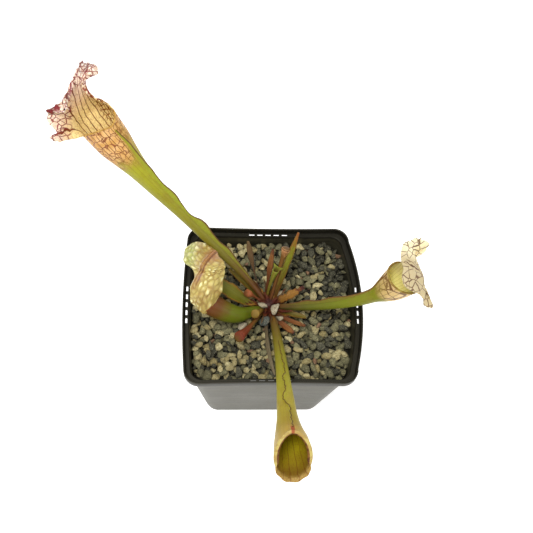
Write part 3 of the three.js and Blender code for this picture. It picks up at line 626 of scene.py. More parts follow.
TUBE_ROWS = 110
TUBE_SIDES = 64
LIP_ROWS = 9
INSIDE_ROWS = 36
FINE_WALL = 0.5
WING_ROWS = 140
WING_ROOT = 0.7
SLEEVE_ROWS = 5
SLEEVE_REACH = 3
SLEEVE_THICKNESS = 0.56
HOOD_EDGE = 0.35
HOOD_ROWS = 34
HOOD_COLUMNS = 170
HOOD_WAVES = 4
THROAT_SPAN = 25
LIP_ROLL = 0.6
LIP_BLEND = 10
OUTSIDE, INSIDE, LIP, LIP_LINE = range(4)
LIP_LINE_ROWS = 3


def degrees_round(angle):
    """An angle round the mouth, from -180 to 180."""
    return np.degrees(np.mod(np.asarray(angle, float) + math.pi, TURN) - math.pi)


def wall_point(pitcher, t, angle, inset=0.0):
    """Places on a pitcher's wall. The angle is 0 on the upper side, where the front lip is."""
    t = np.asarray(t, float)
    angle = np.asarray(angle, float)
    place, along, upper, across = frame_at(pitcher["path"], t, pitcher["upper"])
    radius = value_at(pitcher["radii"], t) - inset
    late = smooth(0.7, 1, t)
    oval = 1 + (pitcher["oval"] - 1) * late
    lift = value_at(pitcher["rim"], degrees_round(angle)) * late
    return (
        place
        + upper * (radius * oval * np.cos(angle))[..., None]
        + across * (radius * np.sin(angle))[..., None]
        + along * lift[..., None]
    )


def wall_grid(pitcher, t, angle, inset=0.0):
    """Places on the wall for every share t and every angle."""
    tt, aa = np.meshgrid(t, angle, indexing="ij")
    return wall_point(pitcher, tt, aa, inset)


def wall_direction(pitcher, angle, inset=0.0):
    """The way the wall runs where it ends at the rim."""
    low, high = wall_grid(pitcher, [0.97, 1.0], angle, inset)
    return unit(high - low)


def path_length(path):
    places, _ = bezier(path, np.linspace(0, 1, 60))
    return np.linalg.norm(np.diff(places, axis=0), axis=1).sum()


def dent(grid, t, amount, seed):
    """Slight unevenness of a grown wall, which fades out at its foot and below its rim."""
    out = grid - grid.mean(axis=1, keepdims=True)
    angle = turns(grid.shape[1])
    random = np.random.default_rng(seed)
    push = np.zeros(grid.shape[:2])
    for k in range(1, 5):
        phase, turn = random.uniform(0, TURN, 2)
        push += np.sin(k * 5 * t[:, None] + phase) * np.cos(k * angle[None, :] + turn) / k
    fade = np.sin(np.pi * np.clip(t / 0.95, 0, 1) ** 3) ** 0.5
    return grid + out * (push * amount * fade[:, None])[..., None]


def lip_rings(pitcher, angle, wall):
    """The rolled rim, from the outside over to the inside."""
    width = height = wall * 0.45
    inward = 0
    if "lip" in pitcher:
        degrees = degrees_round(angle)
        starts, stops = (smooth(end - LIP_BLEND, end + LIP_BLEND, degrees) for end in pitcher["lip_ends"])
        free = starts * (1 - stops)
        width = width + (pitcher["lip"][0] - width) * free
        height = height + (pitcher["lip"][1] - height) * free
        inward = pitcher["lip"][2] * free
    ones = np.ones(len(angle))
    rim = wall_point(pitcher, ones, angle)
    way = wall_direction(pitcher, angle)
    out = rim - rim.mean(axis=0)
    out = unit(out - way * (out * way).sum(axis=1, keepdims=True))
    centre = rim - out * (ones * (wall / 2 + inward))[:, None]
    rings = []
    for k in range(1, LIP_ROWS):
        turn = (math.pi + 2 * LIP_ROLL) * k / LIP_ROWS - LIP_ROLL
        aside = ones * width * math.cos(turn)
        ahead = ones * height * math.sin(turn)
        rings.append(centre + out * aside[:, None] + way * ahead[:, None])
    return np.stack(rings)


def tube(shape, pitcher, seed, rows=TUBE_ROWS, sides=TUBE_SIDES, wall=FINE_WALL):
    """The outside, the rolled lip and the inside of a pitcher's tube, as one closed skin."""
    across = np.linspace(0, 1, sides + 1)
    angle = turns(sides)
    t = 1 - (1 - np.linspace(0, 1, rows)) ** 1.15
    outside = dent(wall_grid(pitcher, t, angle), t, 0.03, seed)
    lip = lip_rings(pitcher, angle, wall)
    down = np.linspace(1, pitcher["hollow_from"], INSIDE_ROWS)[1:]
    inside = wall_grid(pitcher, down, angle, wall)
    ends = (outside[0], inside[-1])
    foot, bottom = (np.repeat(ring.mean(axis=0)[None, None], sides, axis=1) for ring in ends)
    grid = np.concatenate([foot, outside, lip, inside, bottom])
    depth = 1 - (1 - down) * path_length(pitcher["path"]) / THROAT_SPAN
    shares = np.concatenate([[0], t, np.full(len(lip), 1.0), depth, [depth[-1]]])
    finish = np.full((len(grid) - 1, sides), OUTSIDE)
    lip_end = rows + len(lip)
    finish[rows:] = LIP
    finish[lip_end - LIP_LINE_ROWS:] = LIP_LINE
    finish[lip_end:] = INSIDE
    shape.add_grid(grid, shares, across, closed=True, finish=finish.ravel())


def wing(shape, pitcher, seed):
    """The scalloped blade along the pitcher's upper side."""
    table = pitcher["wing"]
    t = np.linspace(table[0][0], table[-1][0], WING_ROWS)
    _, _, upper, across = frame_at(pitcher["path"], t, pitcher["upper"])
    share = np.linspace(0, 1, WING_ROWS)
    lean = np.radians(value_at(table, t, 2))[:, None]
    way = upper * np.cos(lean) + across * np.sin(lean)
    side = across * np.cos(lean) - upper * np.sin(lean)
    wave = pitcher["wing_wave"] * waver(share * 22, seed, 4) * smooth(0, 0.2, share)
    foot = wall_point(pitcher, t, np.zeros(WING_ROWS), WING_ROOT)
    height = (value_at(table, t) + WING_ROOT) * (1 + 0.04 * waver(share * TURN, seed, 6, 4.0))
    levels = np.linspace(0, 1, 7)
    grid = [foot + way * (height * level)[:, None] + side * (wave * level**2)[:, None] for level in levels]
    sheet(shape, np.stack(grid, axis=1), 0.7 - 0.42 * levels, t, levels)


def hood_grid(pitcher, seed, rows=HOOD_ROWS, columns=HOOD_COLUMNS, wall=FINE_WALL):
    """The hood with the sleeve that joins it to the wall: places, thickness, and shares along and across.

    Each column rises from the rim in the wall's own direction and bends over to its place on the margin.
    """
    hood = pitcher["hood"]
    _, along, upper, _ = frame_at(pitcher["path"], 1.0, pitcher["upper"])
    v = np.linspace(-1, 1, columns)
    angle = math.pi - v * np.where(v < 0, *hood["arcs"])
    foot = wall_point(pitcher, np.ones(columns), angle, wall / 2)
    way = wall_direction(pitcher, angle, wall / 2)
    ends = smooth(0, 0.12, 1 - np.abs(v))[:, None]
    share = (v + 1) / 2
    margin = foot + (places_along(hood["margin"], share) - foot) * ends
    length = np.linalg.norm(margin - foot, axis=1)
    ragged = np.interp(v, *np.transpose(hood["ragged"])) * np.clip(length / 12, 0, 1)
    teeth = np.abs(waver(v * 14, seed, 7, 3.1)) - 0.3
    margin = margin + (margin - foot) * (hood["teeth"] * teeth * ragged)[:, None]
    if "waist" in hood:
        middle = foot + (places_along(hood["waist"], share) - foot) * ends
    else:
        middle = (foot + margin) / 2
    bow = upper * hood["bow"][0] + along * hood["bow"][1]
    middle = middle + bow * ((1 - 0.6 * v**2)[:, None] * ends)
    lead = foot + way * (0.3 * length)[:, None]
    follow = (8 * middle - foot - 3 * lead - margin) / 3
    s = np.linspace(0, 1, rows)[:, None, None]
    ruffle = hood["ruffle"] * s * s * np.sin(v * HOOD_WAVES * math.pi + 0.7)[None, :, None]
    grid = cubic(foot, lead, follow, margin, s) + upper * ruffle * ends
    random = np.random.default_rng(seed)
    frill = np.zeros(columns)
    for k in range(3):
        frill += np.sin(v * (17 + 9 * k) + random.uniform(0, TURN)) / (1 + k)
    frill = frill * ragged * hood["frill"] * s[..., 0] ** 3
    grid = grid + normals(grid) * frill[..., None]
    steps = np.linalg.norm(np.diff(grid, axis=0), axis=2)
    low = SLEEVE_REACH * (1 - np.arange(SLEEVE_ROWS) / SLEEVE_ROWS)
    sleeve = wall_grid(pitcher, 1 - low / path_length(pitcher["path"]), angle, wall / 2)
    far = np.vstack([np.repeat(-low[:, None], columns, axis=1), np.zeros(columns), np.cumsum(steps, axis=0)])
    reach = np.concatenate([np.zeros(SLEEVE_ROWS), s.ravel()])[:, None]
    thick = wall + SLEEVE_THICKNESS - FINE_WALL
    thickness = thick + (HOOD_EDGE - thick) * reach**0.6
    return np.concatenate([sleeve, grid]), thickness, 1 + far / THROAT_SPAN, angle / TURN


def quilt(u, v, seed, rows, columns):
    """Cushions of uneven height between a net of cells: 0 in the net's lines and up to 1 on the cushions."""
    random = np.random.default_rng(seed)
    ju, jv = random.uniform(0.05, 0.95, (2, rows + 4, columns + 4))
    heights = random.uniform(0.3, 1, (rows + 4, columns + 4))
    cu = u * rows
    cv = v * columns
    iu = np.floor(cu).astype(int)
    iv = np.floor(cv).astype(int)
    near = np.full(cu.shape, 9.0)
    second = np.full(cu.shape, 9.0)
    height = np.zeros(cu.shape)
    for du in (-1, 0, 1):
        for dv in (-1, 0, 1):
            a = np.clip(iu + du + 2, 0, rows + 3)
            b = np.clip(iv + dv + 2, 0, columns + 3)
            far = np.hypot(iu + du + ju[a, b] - cu, iv + dv + jv[a, b] - cv)
            height = np.where(far < near, heights[a, b], height)
            second = np.minimum(second, np.maximum(near, far))
            near = np.minimum(near, far)
    return smooth(-0.1, 0.75, second - near) * (1 - 0.35 * np.clip(near, 0, 1)) * height


def large_pitcher(name, skins, seed):
    """A tube, with a wing and a hood where it has them."""
    pitcher = PITCHERS[name]
    shape = Shape()
    tube(shape, pitcher, seed)
    finishes = [skins[part] for part in ("outside", "inside", "lip", "lip_line")]
    piece(name + "_tube", shape, finishes, [name])
    if "wing" in pitcher:
        blade_shape = Shape()
        wing(blade_shape, pitcher, seed)
        piece(name + "_wing", blade_shape, [skins["wing"]], [name])
    if "hood" in pitcher:
        hood = Shape()
        sheet(hood, *hood_grid(pitcher, seed))
        piece(name + "_hood", hood, [skins["inside"]], [name])


LID_ROWS = 130
LID_COLUMNS = 100
CREASE_FROM = (-28.6, 18.0)
CREASE_TO = (-40.0, -4.0)


def left_lid(skins):
    """The folded, quilted lid of the left pitcher. Its second share is how high its cushions stand."""
    t = np.linspace(0, 1, LID_ROWS)
    span = np.linspace(0, 1, LID_COLUMNS)
    net = np.stack([places_along(row, span) for row in LEFT_LID])
    grid = np.stack([places_along(net[:, j], t) for j in range(LID_COLUMNS)], 1)
    u, v = spread(t, span)
    edge = np.clip(np.minimum(np.minimum(u, 1 - u) * 9, np.minimum(v, 1 - v) * 6), 0.15, 1)
    cushions = quilt(u, v, 5, 14, 7)
    aside, along = beside_line(grid[..., 0], grid[..., 1], CREASE_FROM, CREASE_TO)
    length = math.dist(CREASE_FROM, CREASE_TO)
    fold = smooth(-1, 3, along) * (1 - smooth(length - 3, length + 1, along))
    ridge = (1.3 * np.exp(-((aside / 1.5) ** 2)) - 1.2 * np.exp(-((aside / 0.4) ** 2))) * fold
    push = (cushions - 0.4) * 1.1 * edge * (1 - 0.8 * np.exp(-((aside / 2) ** 2)) * fold)
    frill = 0.35 * np.sin(u * 33) * smooth(0.85, 1, v) - 0.35 * np.sin(u * 29) * smooth(0.85, 1, 1 - v)
    grid = grid + normals(grid) * (frill - push - ridge)[..., None]
    shape = Shape()
    sheet(shape, grid, 0.4, u, cushions)
    piece("pitcher_left_lid", shape, [skins["lid"]], ["pitcher_left"])


# Young pitchers and blades

YOUNG_WALL = 0.35
YOUNG_ROWS = 40
YOUNG_SIDES = 28
YOUNG_HOOD_ROWS = 12
YOUNG_HOOD_COLUMNS = 30
YOUNG_HABIT = {
    "upper": (0, 0, 1), "oval": 1.1, "rim": [(-180, 0), (0, -0.5), (180, 0)], "hollow_from": 0.72,
}
BLADE_ROWS = 60
BLADE_COLUMNS = 17


def young_hood(pitcher):
    """The little hood's margin: upright, with two points if lobed, or bent over the mouth if closed."""
    _, along, upper, across = frame_at(pitcher["path"], 1.0, pitcher["upper"])
    mouth = pitcher["radii"][-1][1]
    back = wall_point(pitcher, 1.0, math.pi)
    margin = []
    for v in (-1, -0.6, 0, 0.6, 1):
        wide = mouth * 1.05 * v
        high = mouth * 1.3 * (1 - 0.7 * v * v)
        over = 0.5
        if "lobed" in pitcher:
            wide = mouth * 1.9 * v
            high = mouth * (0.9 + 0.5 * abs(v))
        if "closed" in pitcher:
            high = mouth * 0.12
            over = mouth * (2.2 - 0.9 * v * v)
        margin.append(back + across * wide + along * high + upper * over)
    return margin


def young_pitcher(name, leaf, skins, seed):
    """A tube with its little hood, as one piece."""
    pitcher = YOUNG_HABIT | leaf
    pitcher["hood"] = {
        "arcs": (1.2, 1.2), "bow": (0, 0.5 if "closed" in leaf else 0), "ruffle": 0,
        "frill": 0.15, "teeth": 0.05, "ragged": [(-1, 1), (1, 1)], "margin": young_hood(pitcher),
    }
    shape = Shape()
    tube(shape, pitcher, seed, YOUNG_ROWS, YOUNG_SIDES, YOUNG_WALL)
    grid, thickness, _, _ = hood_grid(pitcher, seed, YOUNG_HOOD_ROWS, YOUNG_HOOD_COLUMNS, YOUNG_WALL)
    sheet(shape, grid, thickness)
    piece(name + "_skin", shape, [skins[leaf["skin"]]] * 4, [name])


def blade(name, leaf, skins, seed):
    """A leaf folded along its middle, with wavering edges and a raised midrib."""
    t = np.linspace(0, 1, BLADE_ROWS)
    side = np.linspace(-1, 1, BLADE_COLUMNS)
    place, _, upper, across = frame_at(leaf["path"], t)
    half = value_at(leaf["widths"], t) * (1 + leaf.get("torn", 0.07) * waver(t * TURN, seed))
    half = half[:, None]
    curl = leaf["fold"] * half * side**2
    ripple = 0.12 * half * np.sin(t * 21 + seed)[:, None] * side**3
    twist = 0.15 * waver(t * 4, seed + 9, 3, 2.0)[:, None] * side * half
    rib = -0.18 * np.exp(-((side / 0.14) ** 2)) * np.minimum(half, 1)
    lift = curl + ripple + twist + rib
    grid = place[:, None] + across[:, None] * (side * half)[..., None] + upper[:, None] * lift[..., None]
    shape = Shape()
    sheet(shape, grid, 0.55 - 0.25 * np.abs(side))
    piece(name + "_skin", shape, [skins[leaf["skin"]]], [name])


# The pot


def outline(half, corner, z):
    """A rounded square at one height, with each side's bulge growing from nothing at the base."""
    share = z / POT_HEIGHT
    straight = half - corner
    ring = []
    for k, side in enumerate(("back", "left", "front", "right")):
        turn = k * math.pi / 2
        spots = []
        for i in range(CORNER_STEPS + 1):
            angle = i / CORNER_STEPS * math.pi / 2
            spots.append((straight + corner * math.cos(angle), straight + corner * math.sin(angle)))
        for i in range(1, SIDE_STEPS):
            w = 1 - 2 * i / SIDE_STEPS
            spots.append((straight * w, half + BULGE[side] * share * (1 - w * w)))
        for x, y in spots:
            across = x * math.cos(turn) - y * math.sin(turn)
            back = x * math.sin(turn) + y * math.cos(turn)
            ring.append((across, back, z))
    return np.array(ring)


def wall_half(z):
    """Half the width of the tapering wall at a height."""
    share = z / (POT_HEIGHT - SKIRT_HEIGHT)
    return (BASE_WIDTH + (UNDER_LEDGE_WIDTH - BASE_WIDTH) * share) / 2


def pot_profile():
    """The pot's rings from the middle of its underside, up the outside, over the rim and down inside."""
    half = RIM_WIDTH / 2
    inner = half - SKIRT_WALL
    skirt = POT_HEIGHT - SKIRT_HEIGHT
    ledge = POT_HEIGHT - LEDGE_DROP
    soft = EDGE_SOFTENING
    hub = wall_half(0) * 0.3
    rings = [
        (hub, RIM_CORNER * 0.3, 0),
        (wall_half(0) - 2 * soft, RIM_CORNER, 0),
        (wall_half(0) - soft, RIM_CORNER, 0.15 * soft),
        (wall_half(0), RIM_CORNER, 2 * soft),
    ]
    rings += [(wall_half(z), RIM_CORNER, z) for z in np.linspace(4, skirt - 0.4, 24)]
    rings += [
        (wall_half(skirt) + 0.25, RIM_CORNER, skirt),
        (half - 0.25, RIM_CORNER, skirt),
        (half, RIM_CORNER, skirt + 0.3),
        (half, RIM_CORNER, (skirt + POT_HEIGHT) / 2),
        (half, RIM_CORNER, POT_HEIGHT - soft),
        (half - 0.12, RIM_CORNER - 0.12, POT_HEIGHT - 0.12),
        (half - 0.5, RIM_CORNER - 0.5, POT_HEIGHT),
        (inner + 0.12, RIM_CORNER - 0.9, POT_HEIGHT - 0.12),
        (inner, RIM_CORNER - SKIRT_WALL, POT_HEIGHT - soft),
        (inner, RIM_CORNER - SKIRT_WALL, ledge + 0.3),
        (inner - 0.2, RIM_CORNER - 1.2, ledge),
        (wall_half(ledge) - WALL + 0.3, INNER_CORNER, ledge),
        (wall_half(ledge) - WALL, INNER_CORNER, ledge - 0.3),
    ]
    rings += [(wall_half(z) - WALL, INNER_CORNER, z) for z in np.linspace(ledge - 3, WALL + 1, 12)]
    rings += [(wall_half(WALL) - WALL - 0.8, INNER_CORNER - 0.5, WALL), (hub, RIM_CORNER * 0.3, WALL)]
    return np.stack([outline(*ring) for ring in rings])


def cutters():
    """The slots in the ledge and the drain holes, as one mesh to cut with."""
    made = bmesh.new()
    share = (POT_HEIGHT - LEDGE_DROP) / POT_HEIGHT
    straight = RIM_WIDTH / 2 - RIM_CORNER
    size = Matrix.Diagonal((SLOT_WIDTH * MM, SLOT_LENGTH * MM, SLOT_DEPTH * MM, 1))
    for turn, side in enumerate(("right", "back", "left", "front")):
        spin = Matrix.Rotation(turn * math.pi / 2, 4, "Z")
        for i in range(SLOT_COUNT):
            step = (i - (SLOT_COUNT - 1) / 2) * SLOT_PITCH
            out = SLOT_FROM_CENTRE + BULGE[side] * share * (1 - (step / straight) ** 2)
            move = Matrix.Translation((out * MM, step * MM, (POT_HEIGHT - SKIRT_HEIGHT) * MM))
            bmesh.ops.create_cube(made, size=1, matrix=spin @ move @ size)
    radius = DRAIN_RADIUS * MM
    for i in range(DRAIN_COUNT):
        angle = (i + 0.5) / DRAIN_COUNT * TURN
        place = (DRAIN_RING * math.cos(angle) * MM, DRAIN_RING * math.sin(angle) * MM, 0)
        bmesh.ops.create_cone(
            made, cap_ends=True, segments=32, radius1=radius, radius2=radius, depth=DRAIN_DEPTH * MM,
            matrix=Matrix.Translation(place),
        )
    mesh = bpy.data.meshes.new("pot_cutters")
    made.to_mesh(mesh)
    made.free()
    return mesh


def make_pot(plastic):
    """The pot's wall and floor as one skin, with its slots and drain holes cut out."""
    rings = pot_profile()
    shape = Shape()
    columns = rings.shape[1]
    across = np.linspace(0, 1, columns + 1)
    shape.add_grid(rings, np.linspace(0, 1, len(rings)), across, closed=True)
    a = np.arange(columns)
    fan = np.stack([a, (a + 1) % columns, np.full(columns, columns)], 1)
    for ring, faces in ((rings[0], fan[:, ::-1]), (rings[-1], fan)):
        shape.add(np.vstack([ring, ring.mean(axis=0)]), faces, np.zeros((columns, 3, 2)))
    mesh = shape.mesh("pot_body")
    weld(mesh)
    made = piece("pot_body", mesh, [plastic], ["pot"])
    cutter = add_object("pot_cutter", cutters())
    cut = made.modifiers.new("cut", "BOOLEAN")
    cut.operation = "DIFFERENCE"
    cut.solver = "EXACT"
    cut.object = cutter
    bpy.context.view_layer.update()
    depsgraph = bpy.context.evaluated_depsgraph_get()
    result = bpy.data.meshes.new_from_object(made.evaluated_get(depsgraph))
    made.modifiers.clear()
    made.data = result
    bpy.data.objects.remove(cutter)
    result.shade_smooth()
    result.set_sharp_from_angle(angle=math.radians(POT_CREASE))


# The grit

BED_STEP = 0.5
BED_REACH = 48
BED_LEVEL = GRIT_TOP - 4.2
BED_FOOT = GRIT_TOP - 9
BED_ROWS = 26
STONE_CEILING = GRIT_TOP + 3.2
FINE_STONES_FROM = GRIT_TOP - 2.2
STONE_TRIES = 14
# Makes up for what the chips take off.
STONE_SWELL = 1.18
STONE_LEAN = 0.45
CHIPS = 10
CHIP_DEPTH = (0.42, 0.82)
STONE_CREASE = 22
STONE_KINDS = {
    "grit_cream": {"count": 400, "size": (1.5, 3.0), "flat": 0.75, "rough": 0.22},
    "grit_grey": {"count": 400, "size": (1.5, 3.1), "flat": 0.72, "rough": 0.2},
    "grit_dark": {"count": 240, "size": (1.3, 2.7), "flat": 0.72, "rough": 0.2},
    "grit_pink": {"count": 24, "size": (1.2, 2.2), "flat": 0.7, "rough": 0.2},
}

# Pebbles on the crown: place, radii, turn and kind.
CROWN_PEBBLES = [
    ((-3.7, -0.5, 86.3), (2.9, 1.9, 1.7), -0.45, "grit_white"),
    ((2.9, -2.7, 86.6), (3.5, 2.1, 1.9), 1.1, "grit_white"),
    ((5.1, -7.5, 85.0), (2.4, 1.7, 1.5), -0.6, "grit_white"),
    ((6.6, 5.8, 84.2), (2.8, 2.4, 1.8), 0.9, "grit_white"),
    ((-3.0, -9.4, 84.2), (3.6, 3.0, 2.4), 0.9, "grit_slate"),
    ((-14.1, -10.8, 82.3), (2.7, 2.3, 1.8), 0.5, "grit_white"),
]


def stone_ball(detail):
    """Points and faces of a ball with a radius of 1."""
    ball = bmesh.new()
    bmesh.ops.create_icosphere(ball, subdivisions=detail, radius=1)
    points = np.array([v.co[:] for v in ball.verts])
    faces = np.array([[v.index for v in f.verts] for f in ball.faces])
    ball.free()
    return points, faces


def lumps(points, random, count, scale):
    """Random waves through a solid, added up."""
    total = np.zeros(len(points))
    for _ in range(count):
        wave = random.normal(size=3) * scale
        total += np.sin(points @ wave + random.uniform(0, TURN))
    return total


def stone_points(ball, radii, rough, random, spin=None):
    """A piece of crushed stone: a ball cut back by flat chips, with a worn, pitted skin."""
    reach = np.ones(len(ball))
    for _ in range(CHIPS):
        facing = np.maximum(ball @ unit(random.normal(size=3)), 0.05)
        reach = np.minimum(reach, random.uniform(*CHIP_DEPTH) / facing)
    reach = reach * (1 + rough * 0.16 * lumps(ball, random, 5, 3.2))
    points = ball * reach[:, None] * STONE_SWELL * radii
    lean = random.uniform(-STONE_LEAN, STONE_LEAN, 2)
    spin = random.uniform(0, TURN) if spin is None else spin
    tip = Matrix.Rotation(lean[0], 3, "X") @ Matrix.Rotation(lean[1], 3, "Y")
    return points @ np.array(Matrix.Rotation(spin, 3, "Z") @ tip).T


def stone_shares(points, faces, random):
    """A stone's own shade, and how high each corner is between its foot and its top."""
    low = points[:, 2].min()
    high = points[:, 2].max()
    height = (points[:, 2] - low) / (high - low)
    return np.stack([np.full(faces.shape, random.uniform(0, 1)), height[faces]], axis=2)


def inside_pot(x, y, z, keep):
    """Whether a place is clear of the pot's inner wall by a distance."""
    half = wall_half(z) - WALL - keep
    share = z / POT_HEIGHT
    side = BULGE["right" if x > 0 else "left"]
    end = BULGE["back" if y > 0 else "front"]
    wide = half + side * share * (1 - min(abs(y) / half, 1) ** 2)
    deep = half + end * share * (1 - min(abs(x) / half, 1) ** 2)
    cx = max(abs(x) - half + INNER_CORNER, 0)
    cy = max(abs(y) - half + INNER_CORNER, 0)
    rounded = cx * cy == 0 or math.hypot(cx, cy) < INNER_CORNER
    return abs(x) < wide and abs(y) < deep and rounded


def bed_span(x, y, span):
    """The part of the bed within some steps of a place."""
    i = int((x + BED_REACH) / BED_STEP)
    j = int((y + BED_REACH) / BED_STEP)
    return slice(max(i - span, 0), i + span + 1), slice(max(j - span, 0), j + span + 1)


def stone_order(random):
    """All loose stones as (radius, kind), roughly from the largest to the smallest."""
    order = []
    for kind, facts in STONE_KINDS.items():
        for _ in range(facts["count"]):
            order.append((random.uniform(*facts["size"]), kind))
    order.sort(key=lambda pair: -pair[0] + random.uniform(-1.4, 1.4))
    return order


def lowest_place(bed, radius, random):
    """The lowest of some places tried on the bed, as (level, x, y), or None."""
    best = None
    for _ in range(STONE_TRIES):
        x, y = random.uniform(-BED_REACH + 2, BED_REACH - 1, 2)
        if not inside_pot(x, y, GRIT_TOP, radius * 0.8):
            continue
        if math.dist((x, y), CROWN_CENTRE[:2]) < CROWN_RADII[0] + radius * 0.4:
            continue
        under = bed[bed_span(x, y, max(1, int(radius * 0.6 / BED_STEP)))]
        level = under.mean() * 0.6 + under.max() * 0.4
        if best is None or level < best[0]:
            best = (level, x, y)
    return best


def lay_grit(materials):
    """Drops stones one by one where the bed is lowest, and gathers them by kind."""
    random = np.random.default_rng(7)
    axis = np.linspace(-BED_REACH, BED_REACH, int(2 * BED_REACH / BED_STEP) + 1)
    gx, gy = np.meshgrid(axis, axis, indexing="ij")
    bed = np.full(gx.shape, BED_LEVEL)
    balls = {detail: stone_ball(detail) for detail in (1, 2)}
    shapes = {kind: Shape() for kind in STONE_KINDS}
    for radius, kind in stone_order(random):
        facts = STONE_KINDS[kind]
        radii = radius * np.array([random.uniform(0.95, 1.2), random.uniform(0.7, 0.95), 1.0])
        radii[2] = radius * facts["flat"] * random.uniform(0.85, 1.1)
        best = lowest_place(bed, radius, random)
        if best is None:
            continue
        level, x, y = best
        z = level + radii[2] * 0.55
        if z + radii[2] > STONE_CEILING:
            continue
        # To the right and the back the grit is greyer and darker.
        if kind == "grit_cream" and x + 0.5 * y > random.uniform(-5, 80):
            kind = "grit_grey"
        if kind == "grit_grey" and x + 0.5 * y > random.uniform(5, 105):
            kind = "grit_dark"
        ball, faces = balls[2 if z > FINE_STONES_FROM else 1]
        points = stone_points(ball, radii, facts["rough"], random) + (x, y, z)
        shapes[kind].add(points, faces, stone_shares(points, faces, random))
        flat = (radii[0] + radii[1]) / 2
        block = bed_span(x, y, int(flat / BED_STEP) + 1)
        far = np.hypot(gx[block] - x, gy[block] - y) / flat
        dome = z + radii[2] * np.sqrt(np.clip(1 - far**2, 0, 1))
        bed[block] = np.where(far < 1, np.maximum(bed[block], dome), bed[block])
    for kind, shape in shapes.items():
        made = piece(kind, shape, [materials[kind]], ["grit_dressing"])
        made.data.set_sharp_from_angle(angle=math.radians(STONE_CREASE))


def lay_bed(material):
    """The fine grit under and between the stones, coloured near black as painted shade in the gaps."""
    ring = outline(wall_half(BED_LEVEL) - WALL - 0.3, INNER_CORNER, BED_LEVEL + 0.4)
    random = np.random.default_rng(4)
    grid = [ring * (0.01, 0.01, 0) + (0, 0, BED_FOOT), ring * (1, 1, 0) + (0, 0, BED_FOOT)]
    for share in np.linspace(0, 1, BED_ROWS):
        level = ring.copy()
        level[:, :2] *= 1 - share * 0.995
        level[:, 2] += random.uniform(-0.35, 0.35, len(ring)) * (0 < share < 1)
        grid.append(level)
    shape = Shape()
    shape.add_grid(np.stack(grid), np.full(len(grid), 0.5), np.ones(len(ring) + 1), closed=True)
    piece("grit_bed", shape, [material], ["grit_dressing"])


def lay_pebbles(materials):
    """The larger pebbles that lie on the crown."""
    random = np.random.default_rng(21)
    ball, faces = stone_ball(3)
    for k, (place, radii, spin, kind) in enumerate(CROWN_PEBBLES):
        shape = Shape()
        points = stone_points(ball, radii, 0.25, random, spin) + place
        shape.add(points, faces, stone_shares(points, faces, random))
        piece(f"crown_pebble_{k + 1}", shape, [materials[kind]], ["grit_dressing"])


# The crown

SCALE_LEAVES = 60
DRY_BRACTS = 42


def bract(shape, random, length, half, rise, lift):
    """A thin scale or dry bract that grows outwards from the crown."""
    turn = random.uniform(0, TURN)
    out = np.array([math.cos(turn), math.sin(turn), 0.0])
    base = CROWN_CENTRE + out * 5.0 * math.cos(rise) + UP * 5.2 * math.sin(rise)
    tip = base + out * length * 0.85 + UP * length * lift
    path = [base, base + out * length * 0.3 + UP * 0.2, base + (tip - base) * 0.6, tip]
    t = np.linspace(0, 1, 14)
    side = np.linspace(-1, 1, 5)
    place, _, upper, across = frame_at(path, t)
    width = half * np.sqrt(np.clip(1 - t**2, 0.02, 1)) * (1 + 0.2 * waver(t * 9, int(turn * 1000), 3, 2.0))
    bend = 0.12 * length * waver(t * 2.5, int(turn * 999), 2, 1.5) * t
    grid = place[:, None] + across[:, None] * (side * width[:, None] + bend[:, None])[..., None]
    grid = grid + upper[:, None] * (0.4 * width[:, None] * side**2)[..., None]
    sheet(shape, grid, 0.3)


def make_crown(skins):
    """The rootstock, its scales and the dry bracts round it."""
    random = np.random.default_rng(12)
    ball, faces = stone_ball(4)
    points = ball * CROWN_RADII
    points = points * (1 + 0.012 * lumps(points, random, 9, 1.1))[:, None] + CROWN_CENTRE
    shape = Shape()
    shape.add(points, faces, np.zeros((len(faces), 3, 2)))
    piece("crown_body", shape, [skins["blade_maroon"]], ["crown"])
    scales = Shape()
    for _ in range(SCALE_LEAVES):
        length = random.uniform(2.5, 6)
        width = random.uniform(0.6, 1.2)
        bract(scales, random, length, width, random.uniform(0.3, 1.4), 0.5)
    piece("crown_scales", scales, [skins["blade_maroon"]], ["crown"])
    for skin in ("blade_maroon", "blade_brown", "blade_golden"):
        bracts = Shape()
        for _ in range(DRY_BRACTS // 3):
            length = random.uniform(8, 15)
            width = random.uniform(0.35, 0.7)
            bract(bracts, random, length, width, random.uniform(0.5, 1.1), random.uniform(0.1, 0.6))
        piece("crown_bracts_" + skin, bracts, [skins[skin]], ["crown"])


# Materials

# Leaves are thin enough to glow a little where light comes through.
LEAF_GLOSS = {
    "Subsurface Weight": 0.15, "Subsurface Radius": (1.0, 0.8, 0.3), "Subsurface Scale": 0.0012,
    "Specular IOR Level": 0.3,
}


def plastic_material():
    """Moulded black polypropylene, with scuffs and dust, and its wall below the skirt painted lighter:
    partly dust, and partly painted reflection in faint level bands.
    """
    shader = Shader("pot_plastic")
    place = shader.place()
    x, y, z = shader.split(place)
    grain = shader.noise(place, 6.0, 4.0)
    cloud = shader.noise(place, 0.06, 4.0)
    dust = shader.noise(place, 0.5, 6.0, 0.7)
    reflection_bands = shader.noise(shader.joined(x * 0.03, y * 0.03, z * 0.45), 1.0, 4.0)
    wall = 1 - z.ease(POT_HEIGHT - SKIRT_HEIGHT - 1, POT_HEIGHT - SKIRT_HEIGHT)
    shader.colour = shader.mix(cloud.ease(0.3, 0.7), tint(12, 11, 8), tint(20, 19, 15))
    shader.paint(dust.ease(0.6, 0.8) * 0.25, tint(70, 66, 54))
    # Below the skirt the wall is painted lighter in level bands: partly dust, partly painted reflection of
    # the bright floor.
    shader.paint((0.27 + reflection_bands.ease(0.3, 0.7) * 0.35) * wall, tint(78, 75, 58))
    roughness = 0.34 + 0.14 * cloud + 0.1 * dust
    normal = shader.bump(grain, 0.25, 0.0001)
    gloss = {"IOR": 1.5, "Specular IOR Level": 0.36, "Specular Tint": tint(255, 247, 218)}
    return shader.painted(roughness, normal, gloss)


